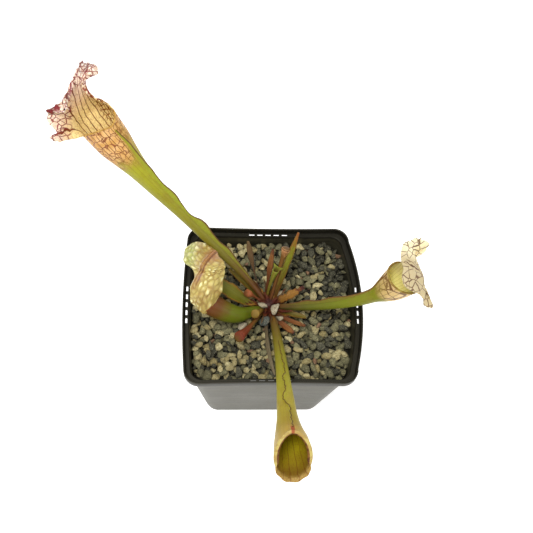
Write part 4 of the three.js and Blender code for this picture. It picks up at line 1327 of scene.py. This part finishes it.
def stone_material(name, light, dark, speck, pores):
    """One kind of stone, mottled and pitted.

    A stone's shares are its own tone and how high a place is on it, and its foot is darkened as painted
    shade.
    """
    shader = Shader(name)
    own, height = shader.shares()
    place = shader.place()
    grain = shader.noise(place, 0.9, 5.0, 0.7)
    fine = shader.noise(place, 2.2, 4.0, 0.7)
    shader.colour = shader.mix(own, dark, light)
    shader.paint(grain.ease(0.45, 0.58) * 0.7, speck)
    shader.paint(fine.ease(0.52, 0.62) * pores, tint(40, 36, 26))
    shader.paint((1 - fine.ease(0.36, 0.45)) * 0.45, tint(210, 200, 160))
    # Painted shade: each stone darkens towards its foot, where it sits down among the others.
    low = 1 - (height + (grain - 0.5) * 0.3).ease(0.3, 0.72)
    shader.paint(low * 0.8, tint(22, 20, 14))
    normal = shader.bump(grain + fine * 0.6, 1.0, 0.0012)
    return shader.painted(0.8 + 0.12 * fine, normal, {"Specular IOR Level": 0.3})


def fold_line(shader, place, x, y, start, end):
    """Two dark lines side by side, where a hood is folded, and the clear band that they lie in."""
    aside, along = beside_line(x, y, start, end)
    aside = aside + (shader.noise(place, 0.3, 2.0) - 0.5) * 2.5
    length = math.dist(start, end)
    ends = along.ease(-0.5, 0.5) * (1 - along.ease(length - 0.5, length + 0.5))
    wide = 1 - abs(aside - 0.6).ease(0.25, 0.6)
    thin = 1 - abs(aside + 0.9).ease(0.1, 0.35)
    band = 1 - abs(aside).ease(1.6, 2.4)
    return wide.highest(thin * 0.7) * ends, band * ends


def net_lines(shader, along, across, length_cells, round_cells, width, seed=0.0, bend=0.7):
    """The net of veins between windows: 1 in a vein. The bend is how far its cells are pulled askew."""
    u = along * length_cells + seed
    v = across * round_cells
    warp = shader.noise(shader.joined(u, v), 1.3, 2.0) * bend
    far = shader.cells(shader.joined(u + warp, v + warp * 0.7), 1.0)
    return 1 - far.ease(width * 0.4, width)


def ribs(shader, along, across, count, width, wobble):
    """Parallel veins that run along a tube: 1 in a vein."""
    sway = shader.noise(shader.joined(along * 6, across * 9), 1.0, 2.0)
    lane = (across * count + sway * wobble).fraction()
    far = abs(lane - 0.5) * 2
    return far.ease(1 - width, 1 - width * 0.3)


# What a pitcher's facts leave unsaid. A pair says where a mark starts and where it is in full.
TUBE_HABIT = {
    "ribs": 18, "rib_width": 0.13, "ribs_from": (0.3, 0.9), "rib_share": 0.45, "net_from": (0.8, 0.92),
    "net_long": 46, "net_round": 22, "net_width": 0.08, "net_share": 1.0, "net": (140, 84, 48),
    "keel_share": 0.0, "edge": (96, 50, 26), "edge_share": 0.5, "mark_share": 0.0,
    "window": (226, 184, 132), "window_other": (206, 158, 96),
}


def tube_material(name, facts):
    """A pitcher's wall: a gradient along it, long veins, and a net of windows below the mouth.

    The keel, along the upper side, stays green between the windows.
    """
    facts = TUBE_HABIT | facts
    shader = Shader(name)
    along, across = shader.shares()
    place = shader.place()
    cloud = shader.noise(place, 0.22, 4.0)
    fine = shader.noise(place, 1.6, 4.0, 0.6)
    reading = along + (cloud - 0.5) * 0.1
    # The ramp darkens towards the foot: partly the leaf's own maroon base, partly painted shade low in the
    # pot.
    shader.colour = shader.ramp(reading, [(p, tint(*c)) for p, c in facts["stops"]])
    shader.paint(cloud.ease(0.45, 0.7) * 0.2, tint(*facts["vein"]))
    upper = (across * TURN).cosine().ease(0.55, 1.0)
    low = 1 - along.ease(0.1, 0.35)
    shader.paint(upper * low * facts["edge_share"], tint(*facts["edge"]))
    lines = ribs(shader, along, across, facts["ribs"], facts["rib_width"], 0.5)
    rib_share = lines * reading.ease(*facts["ribs_from"]) * facts["rib_share"]
    keel = (across * TURN - 0.3).cosine().ease(0.88, 0.97) * facts["keel_share"]
    keel = keel * (1 - reading.ease(0.85, 1.02) * 0.8)
    net_zone = reading.ease(*facts["net_from"]) * facts["net_share"] * (1 - keel)
    shader.paint(rib_share * (1 - keel * 0.6), tint(*facts["vein"]))
    veins = net_lines(shader, along, across, facts["net_long"], facts["net_round"], facts["net_width"])
    windows = shader.mix(cloud.ease(0.35, 0.65), tint(*facts["window"]), tint(*facts["window_other"]))
    netted = shader.mix(veins, windows, tint(*facts["net"]))
    netted = shader.mix(lines, netted, tint(*facts["vein"]))
    shader.paint(net_zone, netted)
    shader.paint(fine.ease(0.3, 0.8) * 0.12, tint(60, 50, 20))
    front = (across * TURN).cosine().ease(0.992, 0.997) * along.ease(0.965, 0.975)
    shader.paint(front * facts["mark_share"], tint(150, 40, 18))
    height = fine * 0.3 - lines * 0.4 - veins * net_zone
    normal = shader.bump(height, 0.4, 0.0003)
    return shader.painted(0.4 + 0.15 * fine, normal, LEAF_GLOSS)


# Reaches are in spans of THROAT_SPAN: 1 is the rim, less is down the throat and more is up the hood.
# The ramp of colours starts at the deepest and takes in this many spans.
DEEPEST = -1.5
REACHES = 4
THROAT_HABIT = {
    "ribs": 18, "rib_width": 0.22, "rib_share": 0.85, "rib": (122, 68, 26), "ribs_until": (1.4, 1.8),
    "fine_net": (150, 96, 44), "fine_long": 14, "fine_round": 48, "fine_share": 0.45, "specks": 0.3,
    "fine_width": 0.13, "fine_from": (0.85, 1.0), "patch": (0.0, 0.01), "neck": (0.0, 0.01),
    "fan_share": 0.0, "net": (124, 30, 40), "net_cells": 0.42, "net_width": 0.1, "net_from": (1.35, 1.6),
    "net_share": 0.9,
}


def throat_material(name, facts):
    """The throat and the hood: ribs run on from the one to the other, and end in a net of veins.

    The patch is the part of the hood where the fine net is strong, the neck is where the coarse net
    starts later, and the fan has close veins that run out to its margin.
    """
    facts = THROAT_HABIT | facts
    shader = Shader(name)
    along, across = shader.shares()
    place = shader.place()
    cloud = shader.noise(place, 0.25, 4.0)
    fine = shader.noise(place, 1.4, 4.0, 0.65)
    reading = along + (cloud - 0.5) * 0.3
    stops = [((p - DEEPEST) / REACHES, tint(*c)) for p, c in facts["stops"]]
    shader.colour = shader.ramp((reading - DEEPEST) / REACHES, stops)
    fine_net = (facts["fine_long"], facts["fine_round"], facts["fine_width"])
    thin = net_lines(shader, along, across, *fine_net, seed=7.0)
    inside_rim = reading.ease(*facts["fine_from"])
    patch = 1 - across.ease(*facts["patch"])
    fine_share = (patch * (1 - facts["fine_share"]) + facts["fine_share"]) * inside_rim
    shader.paint(thin * fine_share, tint(*facts["fine_net"]))
    lines = ribs(shader, along, across, facts["ribs"], facts["rib_width"], 0.5)
    red = reading.ease(1.5, 1.9)
    rib = shader.mix(red, tint(*facts["rib"]), tint(*facts["net"]))
    rib_share = lines * (1 - reading.ease(*facts["ribs_until"])) * facts["rib_share"]
    shader.paint(rib_share, rib)
    x, y, z = shader.split(place)
    if "fan_from" in facts:
        fan = y.ease(*facts["fan_from"]) * reading.ease(1.1, 1.3)
        shader.paint(fan, tint(*facts["fan_shade"]))
    start, end = facts["neck"]
    neck = across.ease(start, start + 0.06) * (1 - across.ease(end - 0.06, end))
    late = reading - neck * 0.45
    # The coarse net lies as it is seen from the front and above, in cells of even size.
    level = x - y * 0.13
    upright = y * 0.9 + z * 0.43
    cells = facts["net_cells"]
    veins = net_lines(shader, level, upright, cells, cells, facts["net_width"], bend=0.3)
    veins = veins * late.ease(*facts["net_from"]) * facts["net_share"]
    spokes = ribs(shader, along, across, 70, 0.3, 0.8) * late.ease(1.4, 1.6) * neck * facts["fan_share"]
    veins = veins.highest(spokes)
    if "fold" in facts:
        crease, band = fold_line(shader, place, x, y, *facts["fold"])
        veins = (veins * (1 - band)).highest(crease * reading.ease(1.1, 1.2))
    shader.paint(veins, tint(*facts["net"]))
    shader.paint(fine.ease(0.52, 0.64) * facts["specks"], tint(*facts["fine_net"]))
    normal = shader.bump(fine * 0.25 - veins - thin * 0.3, 0.4, 0.0004)
    return shader.painted(0.5 + 0.15 * fine, normal, LEAF_GLOSS)


def lip_material(name, facts):
    """The rolled rim, patchy between its two shades, with a red mark on its front where it has one."""
    shader = Shader(name)
    _, across = shader.shares()
    place = shader.place()
    cloud = shader.noise(place, facts.get("patch", 0.5), 4.0, 0.65)
    fine = shader.noise(place, 2.4, 3.0)
    shader.colour = shader.mix(cloud.ease(0.42, 0.58), tint(*facts["light"]), tint(*facts["dark"]))
    if "mark" in facts:
        front = (across * TURN).cosine().ease(0.994, 0.998)
        shader.paint(front * 0.8, tint(*facts["mark"]))
    normal = shader.bump(fine, 0.3, 0.0002)
    return shader.painted(0.45 + 0.15 * fine, normal, LEAF_GLOSS)


def lid_material(name):
    """The quilted lid: pale cushions with painted highlights on the highest, soft brown hollows that are
    partly veins and partly painted shade, a greener lobe, and a brown crease with dark lines of painted
    shade beside its ridge.
    """
    shader = Shader(name)
    _, cushion = shader.shares()
    place = shader.place()
    x, y, _ = shader.split(place)
    cloud = shader.noise(place, 0.2, 4.0)
    blotch = shader.noise(place, 0.45, 5.0, 0.65)
    fine = shader.noise(place, 1.5, 4.0, 0.6)
    shader.colour = shader.mix(cloud.ease(0.4, 0.62), tint(190, 172, 96), tint(176, 148, 80))
    green = (0 - x - 38.5).ease(-1.5, 3.0) * y.ease(6.0, 12.0)
    shader.paint(green * 0.85, tint(166, 176, 84))
    shader.paint(blotch.ease(0.5, 0.68) * 0.5, tint(150, 118, 60))
    shader.paint(cushion.ease(0.25, 0.6) * 0.45, tint(216, 204, 132))
    # Painted highlights on the highest cushions.
    shader.paint(cushion.ease(0.55, 0.8) * 0.7, tint(244, 238, 180))
    # Soft brown hollows: partly veins, partly painted shade between the cushions.
    shader.paint((1 - cushion.ease(0.02, 0.25)) * 0.4, tint(126, 92, 40))
    aside, along = beside_line(x, y, CREASE_FROM, CREASE_TO)
    fold = along.ease(-2.0, 2.0) * (1 - along.ease(20.0, 26.0))
    rust = (1 - abs(aside).ease(1.0, 5.5)) * along.ease(-3.0, 1.0) * (1 - along.ease(5.0, 14.0))
    shader.paint(rust * 0.7, tint(164, 104, 66))
    shader.paint((1 - abs(aside).ease(0.9, 2.4)) * fold * 0.65, tint(166, 112, 62))
    # Dark lines beside the crease: painted shade along the sides of its ridge.
    crease_shade = 1 - abs(aside + 0.8).ease(0.15, 0.65)
    other = 1 - abs(aside - 1.0).ease(0.1, 0.5)
    shader.paint(crease_shade.highest(other * 0.5) * fold * 0.9, tint(112, 66, 28))
    normal = shader.bump(fine, 0.3, 0.0003)
    return shader.painted(0.3 + 0.2 * fine, normal, LEAF_GLOSS | {"Specular IOR Level": 0.5})


BLADE_HABIT = {
    "ribs": 7, "rib_share": 0.35, "edge_share": 0.4, "roughness": 0.5, "edge_from": (0.34, 0.5),
    "one_edge": False,
}


def blade_material(name, facts):
    """A small leaf: a gradient along it, fine veins and darker or redder edges."""
    facts = BLADE_HABIT | facts
    shader = Shader(name)
    along, across = shader.shares()
    place = shader.place()
    cloud = shader.noise(place, 0.5, 4.0)
    fine = shader.noise(place, 2.4, 4.0, 0.6)
    shader.colour = shader.ramp(along + (cloud - 0.5) * 0.35, [(p, tint(*c)) for p, c in facts["stops"]])
    lines = ribs(shader, along, across, facts["ribs"], 0.3, 0.3)
    shader.paint(lines * facts["rib_share"], tint(*facts["vein"]))
    rim = (across if facts["one_edge"] else abs(across - 0.5)).ease(*facts["edge_from"])
    shader.paint(rim * facts["edge_share"], tint(*facts["edge"]))
    shader.paint(fine.ease(0.45, 0.8) * 0.25, tint(*facts["vein"]))
    normal = shader.bump(fine * 0.5 + lines * 0.5, 0.4, 0.0003)
    return shader.painted(facts["roughness"] + 0.12 * fine, normal, LEAF_GLOSS)


def soil_material():
    """The mix in the pot, in dark crumbs."""
    shader = Shader("potting_mix")
    place = shader.place()
    crumbs = shader.cells(place, 0.5, "F1")
    fine = shader.noise(place, 1.2, 5.0, 0.7)
    shader.colour = shader.mix(crumbs.ease(0.2, 0.9), tint(74, 56, 40), tint(34, 25, 18))
    shader.paint(fine.ease(0.6, 0.8) * 0.5, tint(120, 92, 62))
    normal = shader.bump(crumbs + fine, 0.8, 0.0008)
    return shader.painted(0.95, normal)


WING_EDGE = {"one_edge": True, "edge_from": (0.72, 0.9), "edge_share": 0.9}

# Each outside ramp darkens towards the foot: partly the leaf's own maroon base, partly painted shade where
# the foot stands low in the pot near the crown.
SKIN_FACTS = {
    "pitcher_tall": {
        "outside": {
            "stops": [
                (0.0, (70, 30, 16)), (0.1, (90, 62, 18)), (0.22, (104, 90, 26)), (0.4, (118, 112, 28)),
                (0.6, (138, 134, 22)), (0.8, (158, 156, 20)), (0.9, (162, 138, 34)),
                (1.0, (176, 136, 48)),
            ],
            "vein": (104, 50, 14), "window": (226, 180, 118), "window_other": (206, 154, 80),
            "net": (140, 82, 44), "net_from": (0.82, 0.9), "keel_share": 1.0,
        },
        "inside": {
            "stops": [
                (-1.5, (110, 86, 16)), (0.0, (216, 184, 96)), (0.8, (252, 228, 158)),
                (1.2, (252, 226, 156)), (1.45, (246, 212, 164)), (1.75, (246, 218, 192)),
                (2.2, (255, 236, 218)),
            ],
            "patch": (0.33, 0.38), "neck": (0.26, 0.6), "fan_share": 0.8, "ribs_until": (2.0, 2.3),
            "fine_long": 9, "fine_round": 30, "fine_net": (146, 82, 24), "fine_width": 0.09,
            "rib": (112, 44, 0), "rib_share": 1.0, "net_width": 0.085, "specks": 0.45, "fine_share": 0.2,
            "fine_from": (0.2, 0.5), "net_from": (1.25, 1.4),
        },
        "lip": {"light": (196, 154, 74), "dark": (160, 116, 48)},
        "lip_line": {"light": (170, 120, 50), "dark": (140, 92, 36)},
        "wing": {
            "stops": [
                (0, (96, 60, 20)), (0.3, (120, 118, 26)), (0.7, (146, 152, 28)), (1, (154, 146, 36)),
            ],
            "vein": (150, 146, 40), "edge": (84, 40, 22),
        },
    },
    "pitcher_right": {
        "outside": {
            "stops": [
                (0.0, (60, 32, 12)), (0.15, (64, 58, 16)), (0.4, (96, 100, 18)), (0.6, (116, 124, 18)),
                (0.8, (130, 132, 24)), (0.9, (158, 138, 60)), (1.0, (176, 146, 76)),
            ],
            "vein": (120, 84, 40), "window": (226, 194, 138), "window_other": (206, 176, 110),
            "net": (116, 78, 38), "net_from": (0.82, 0.9), "edge": (100, 62, 28), "edge_share": 0.6,
            "net_long": 20, "net_round": 8, "net_width": 0.075, "keel_share": 0.6,
        },
        "inside": {
            "stops": [
                (-1.5, (130, 124, 20)), (0.2, (232, 224, 110)), (0.8, (254, 244, 172)),
                (1.0, (240, 228, 172)), (1.15, (190, 174, 132)), (1.6, (194, 178, 138)),
                (2.0, (206, 190, 150)),
            ],
            "ribs": 26, "rib": (200, 182, 92), "rib_share": 0.4, "ribs_until": (0.95, 1.1),
            "rib_width": 0.3, "fine_share": 0.0, "net": (96, 62, 38), "net_cells": 0.3,
            "net_width": 0.055, "net_from": (0.95, 1.1), "specks": 0.15,
            "fold": ((60.3, -2.6), (68.3, -4.2)), "fan_from": (-2, 3), "fan_shade": (240, 228, 190),
        },
        "lip": {"light": (160, 140, 64), "dark": (134, 104, 42)},
        "lip_line": {"light": (150, 124, 56), "dark": (126, 92, 36)},
        "wing": {
            "stops": [(0, (84, 60, 18)), (0.5, (112, 110, 24)), (1, (140, 100, 44))],
            "vein": (110, 90, 24), "edge": (104, 62, 30),
        },
    },
    "pitcher_front": {
        "outside": {
            "stops": [
                (0.0, (92, 46, 22)), (0.12, (98, 82, 26)), (0.35, (134, 128, 34)), (0.6, (158, 150, 44)),
                (0.88, (166, 144, 50)), (1.0, (176, 146, 68)),
            ],
            "vein": (124, 84, 36), "net_from": (1.3, 1.4), "edge": (104, 72, 24), "edge_share": 0.4,
            "ribs": 24, "rib_share": 0.35, "mark_share": 0.8,
        },
        "inside": {
            "stops": [
                (-1.5, (164, 156, 12)), (0.2, (188, 178, 16)), (0.7, (150, 130, 16)),
                (0.95, (128, 98, 24)), (1.05, (176, 146, 76)), (1.4, (166, 132, 64)),
            ],
            "rib": (96, 44, 6), "rib_share": 0.6, "ribs": 14, "net_share": 0.0, "fine_share": 0.15,
            "rib_width": 0.14, "specks": 0.5, "fine_net": (120, 72, 12),
        },
        "lip": {"light": (190, 172, 98), "dark": (168, 140, 74), "mark": (150, 44, 20), "patch": 0.35},
        "lip_line": {"light": (132, 88, 34), "dark": (84, 42, 12), "patch": 0.8},
        "wing": {
            "stops": [(0, (110, 84, 26)), (0.5, (160, 156, 36)), (1, (160, 140, 50))],
            "vein": (130, 116, 30), "edge": (84, 56, 16),
        },
    },
    "pitcher_left": {
        "outside": {
            "stops": [
                (0.0, (92, 82, 12)), (0.15, (92, 108, 12)), (0.76, (96, 104, 12)), (0.92, (98, 60, 8)),
                (1.0, (98, 44, 8)),
            ],
            "vein": (96, 66, 12), "net_share": 0.0, "rib_share": 0.4, "ribs_from": (0.2, 0.7),
            "edge_share": 0.2,
        },
        "inside": {"stops": [(0.0, (110, 90, 20)), (1.0, (180, 146, 62))], "net_share": 0.0},
        "lip": {"light": (150, 96, 36), "dark": (130, 70, 24)},
        "lip_line": {"light": (150, 96, 36), "dark": (130, 70, 24)},
    },
}

# The small leaves and the crown stand low in the pot, and their colours are darkened there as painted shade,
# over their own colours.
SMALL_SKINS = {
    "young_green": {
        "stops": [(0, (70, 40, 12)), (0.35, (98, 92, 20)), (1, (132, 138, 44))], "vein": (96, 84, 24),
        "edge": (110, 84, 26),
    },
    "young_peach": {
        "stops": [(0, (70, 34, 12)), (0.4, (92, 64, 14)), (0.85, (110, 78, 22)), (1, (196, 142, 92))],
        "vein": (90, 52, 18), "edge": (120, 70, 30),
    },
    "young_pink": {
        "stops": [(0, (66, 30, 12)), (0.6, (104, 62, 24)), (0.85, (146, 80, 42)), (1, (160, 94, 54))],
        "vein": (120, 60, 32), "edge": (150, 84, 50),
    },
    "young_red": {
        "stops": [(0, (74, 56, 12)), (0.5, (96, 72, 18)), (0.75, (106, 46, 18)), (1, (122, 50, 26))],
        "vein": (84, 40, 14), "edge": (120, 56, 30),
    },
    "young_yellow": {
        "stops": [(0, (90, 58, 14)), (0.5, (112, 88, 24)), (1, (138, 110, 40))], "vein": (110, 76, 24),
        "edge": (130, 96, 36),
    },
    "blade_bright": {
        "stops": [(0, (84, 60, 12)), (0.3, (96, 92, 10)), (1, (102, 102, 14))], "vein": (76, 72, 8),
        "edge": (130, 84, 24), "edge_share": 0.7,
    },
    "blade_olive": {
        "stops": [(0, (70, 48, 14)), (0.3, (88, 76, 14)), (1, (106, 92, 18))], "vein": (80, 54, 16),
        "edge": (116, 70, 24), "edge_share": 0.6,
    },
    "blade_green": {
        "stops": [
            (0, (80, 36, 14)), (0.25, (98, 80, 18)), (0.66, (122, 128, 28)), (0.84, (136, 104, 28)),
            (1, (150, 84, 28)),
        ],
        "vein": (92, 74, 18), "edge": (104, 56, 20), "edge_share": 0.6,
    },
    "blade_rust": {
        "stops": [(0, (64, 24, 10)), (0.5, (110, 62, 22)), (0.85, (128, 82, 34)), (1, (84, 40, 22))],
        "vein": (70, 32, 12), "edge": (84, 40, 16), "roughness": 0.6,
    },
    "blade_brown": {
        "stops": [(0, (52, 26, 14)), (0.5, (84, 58, 32)), (1, (104, 82, 50))], "vein": (50, 32, 18),
        "edge": (66, 44, 24), "roughness": 0.75,
    },
    "blade_dry": {
        "stops": [(0, (66, 48, 28)), (0.4, (104, 92, 66)), (1, (122, 110, 84))], "vein": (66, 54, 36),
        "edge": (80, 66, 46), "roughness": 0.85, "rib_share": 0.7,
    },
    "blade_golden": {
        "stops": [
            (0, (84, 44, 12)), (0.35, (132, 92, 24)), (0.8, (158, 112, 40)), (0.9, (92, 40, 24)),
            (1, (62, 22, 16)),
        ],
        "vein": (74, 38, 12), "edge": (80, 36, 14), "rib_share": 0.9, "ribs": 12,
    },
    "blade_maroon": {
        "stops": [(0, (50, 14, 8)), (0.6, (80, 28, 14)), (1, (104, 56, 22))], "vein": (44, 14, 8),
        "edge": (64, 24, 12),
    },
}

# Each kind of stone: its light and dark shades, its specks and how pitted it is.
STONES = {
    "grit_cream": ((234, 222, 168), (156, 142, 92), (176, 156, 104), 0.7),
    "grit_grey": ((160, 154, 112), (92, 90, 64), (112, 108, 80), 0.65),
    "grit_dark": ((96, 94, 76), (48, 47, 37), (72, 72, 58), 0.5),
    "grit_pink": ((158, 118, 88), (116, 84, 60), (140, 112, 84), 0.5),
    "grit_white": ((204, 192, 164), (184, 172, 142), (164, 148, 116), 0.6),
    "grit_slate": ((86, 92, 86), (78, 84, 80), (100, 102, 92), 0.4),
}


def make_skins():
    """All leaf materials. A large pitcher has one for each of its parts."""
    skins = {name: blade_material(name, facts) for name, facts in SMALL_SKINS.items()}
    for name, facts in SKIN_FACTS.items():
        skins[name] = {
            "outside": tube_material(name + "_outside", facts["outside"]),
            "inside": throat_material(name + "_throat", facts["inside"]),
            "lip": lip_material(name + "_lip", facts["lip"]),
            "lip_line": lip_material(name + "_lip_line", facts["lip_line"]),
        }
        if "wing" in facts:
            skins[name]["wing"] = blade_material(name + "_wing", WING_EDGE | facts["wing"])
    skins["pitcher_left"]["lid"] = lid_material("left_lid")
    return skins


# The studio, in metres

LIGHTS = {
    "key": {"place": (-0.25, -0.2, 1.3), "size": 0.45, "power": 11},
    "fill": {"place": (0.9, -0.5, 0.7), "size": 0.8, "power": 3},
}
LIT_HEIGHT = 0.09
FLOOR_REACH = 3.0
FLOOR_GLOW = 0.5
SKY_STRENGTH = 0.66
CLIP_START = 0.01
CLIP_END = 20


def stand(data, columns):
    """Puts a camera or light in the scene, by the ways of its right, top and back, and its place."""
    made = add_object(data.name, data)
    matrix = np.eye(4)
    matrix[:3] = np.transpose(columns)
    made.matrix_world = Matrix(matrix.tolist())
    return made


def make_camera():
    """The camera, where the photograph was taken from."""
    heading = math.radians(CAMERA_HEADING)
    tilt = math.radians(CAMERA_TILT)
    roll = math.radians(CAMERA_ROLL)
    level = np.array([math.cos(heading), -math.sin(heading), 0.0])
    ahead = np.array([math.sin(heading), math.cos(heading), 0.0])
    forward = ahead * math.cos(tilt) - UP * math.sin(tilt)
    rise = np.cross(level, forward)
    right = math.cos(roll) * level + math.sin(roll) * rise
    up = -math.sin(roll) * level + math.cos(roll) * rise
    data = bpy.data.cameras.new("photo_camera")
    data.sensor_width = SENSOR_WIDTH
    data.lens = SENSOR_WIDTH * FOCAL_PIXELS / PICTURE_PIXELS
    data.clip_start = CLIP_START
    data.clip_end = CLIP_END
    bpy.context.scene.camera = stand(data, [right, up, -forward, np.array(CAMERA_PLACE) * MM])


def soft_light(name, place, size, power):
    """A round lamp that faces the plant's middle height."""
    data = bpy.data.lights.new(name, "AREA")
    data.shape = "DISK"
    data.size = size
    data.energy = power
    back = unit(np.array(place) - UP * LIT_HEIGHT)
    side = unit(np.cross(UP, back))
    stand(data, [side, np.cross(back, side), back, place])


def make_studio():
    """A bright floor, a white sky and the lamps."""
    floor = bpy.data.meshes.new("floor")
    corners = [(x * FLOOR_REACH, y * FLOOR_REACH, 0) for x, y in ((-1, -1), (1, -1), (1, 1), (-1, 1))]
    floor.from_pydata(corners, [], [(0, 1, 2, 3)])
    floor.materials.append(Shader("floor").surface({
        "Base Color": tint(250, 250, 249), "Roughness": 0.8,
        "Emission Color": tint(255, 255, 252), "Emission Strength": FLOOR_GLOW,
    }))
    made = add_object("floor", floor)
    world = bpy.data.worlds.new("studio")
    world.use_nodes = True
    sky = world.node_tree.nodes["Background"].inputs
    sky["Color"].default_value = (1, 1, 1, 1)
    sky["Strength"].default_value = SKY_STRENGTH
    bpy.context.scene.world = world
    for name, facts in LIGHTS.items():
        soft_light(name, **facts)
    bpy.context.scene.view_settings.view_transform = "Standard"


make_camera()
make_studio()
SKINS = make_skins()
STONE_SKINS = {name: stone_material(name, tint(*light), tint(*dark), tint(*speck), pores)
               for name, (light, dark, speck, pores) in STONES.items()}

make_pot(plastic_material())
# The fine grit's near-black shades are painted shade for the gaps between the stones.
lay_bed(stone_material("fine_grit_and_gap_shade", tint(34, 30, 22), tint(20, 18, 13), tint(30, 27, 20), 0.6))
lay_grit(STONE_SKINS)
lay_pebbles(STONE_SKINS)
make_crown(SKINS)
for number, name in enumerate(PITCHERS, 1):
    large_pitcher(name, SKINS[name], number)
left_lid(SKINS["pitcher_left"])
for number, (name, leaf) in enumerate(YOUNG_PITCHERS.items(), 11):
    young_pitcher(name, leaf, SKINS, number)
for number, (name, leaf) in enumerate(BLADES.items(), 31):
    blade(name, leaf, SKINS, number)

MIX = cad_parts["potting_mix"].data.materials
MIX.clear()
MIX.append(soil_material())
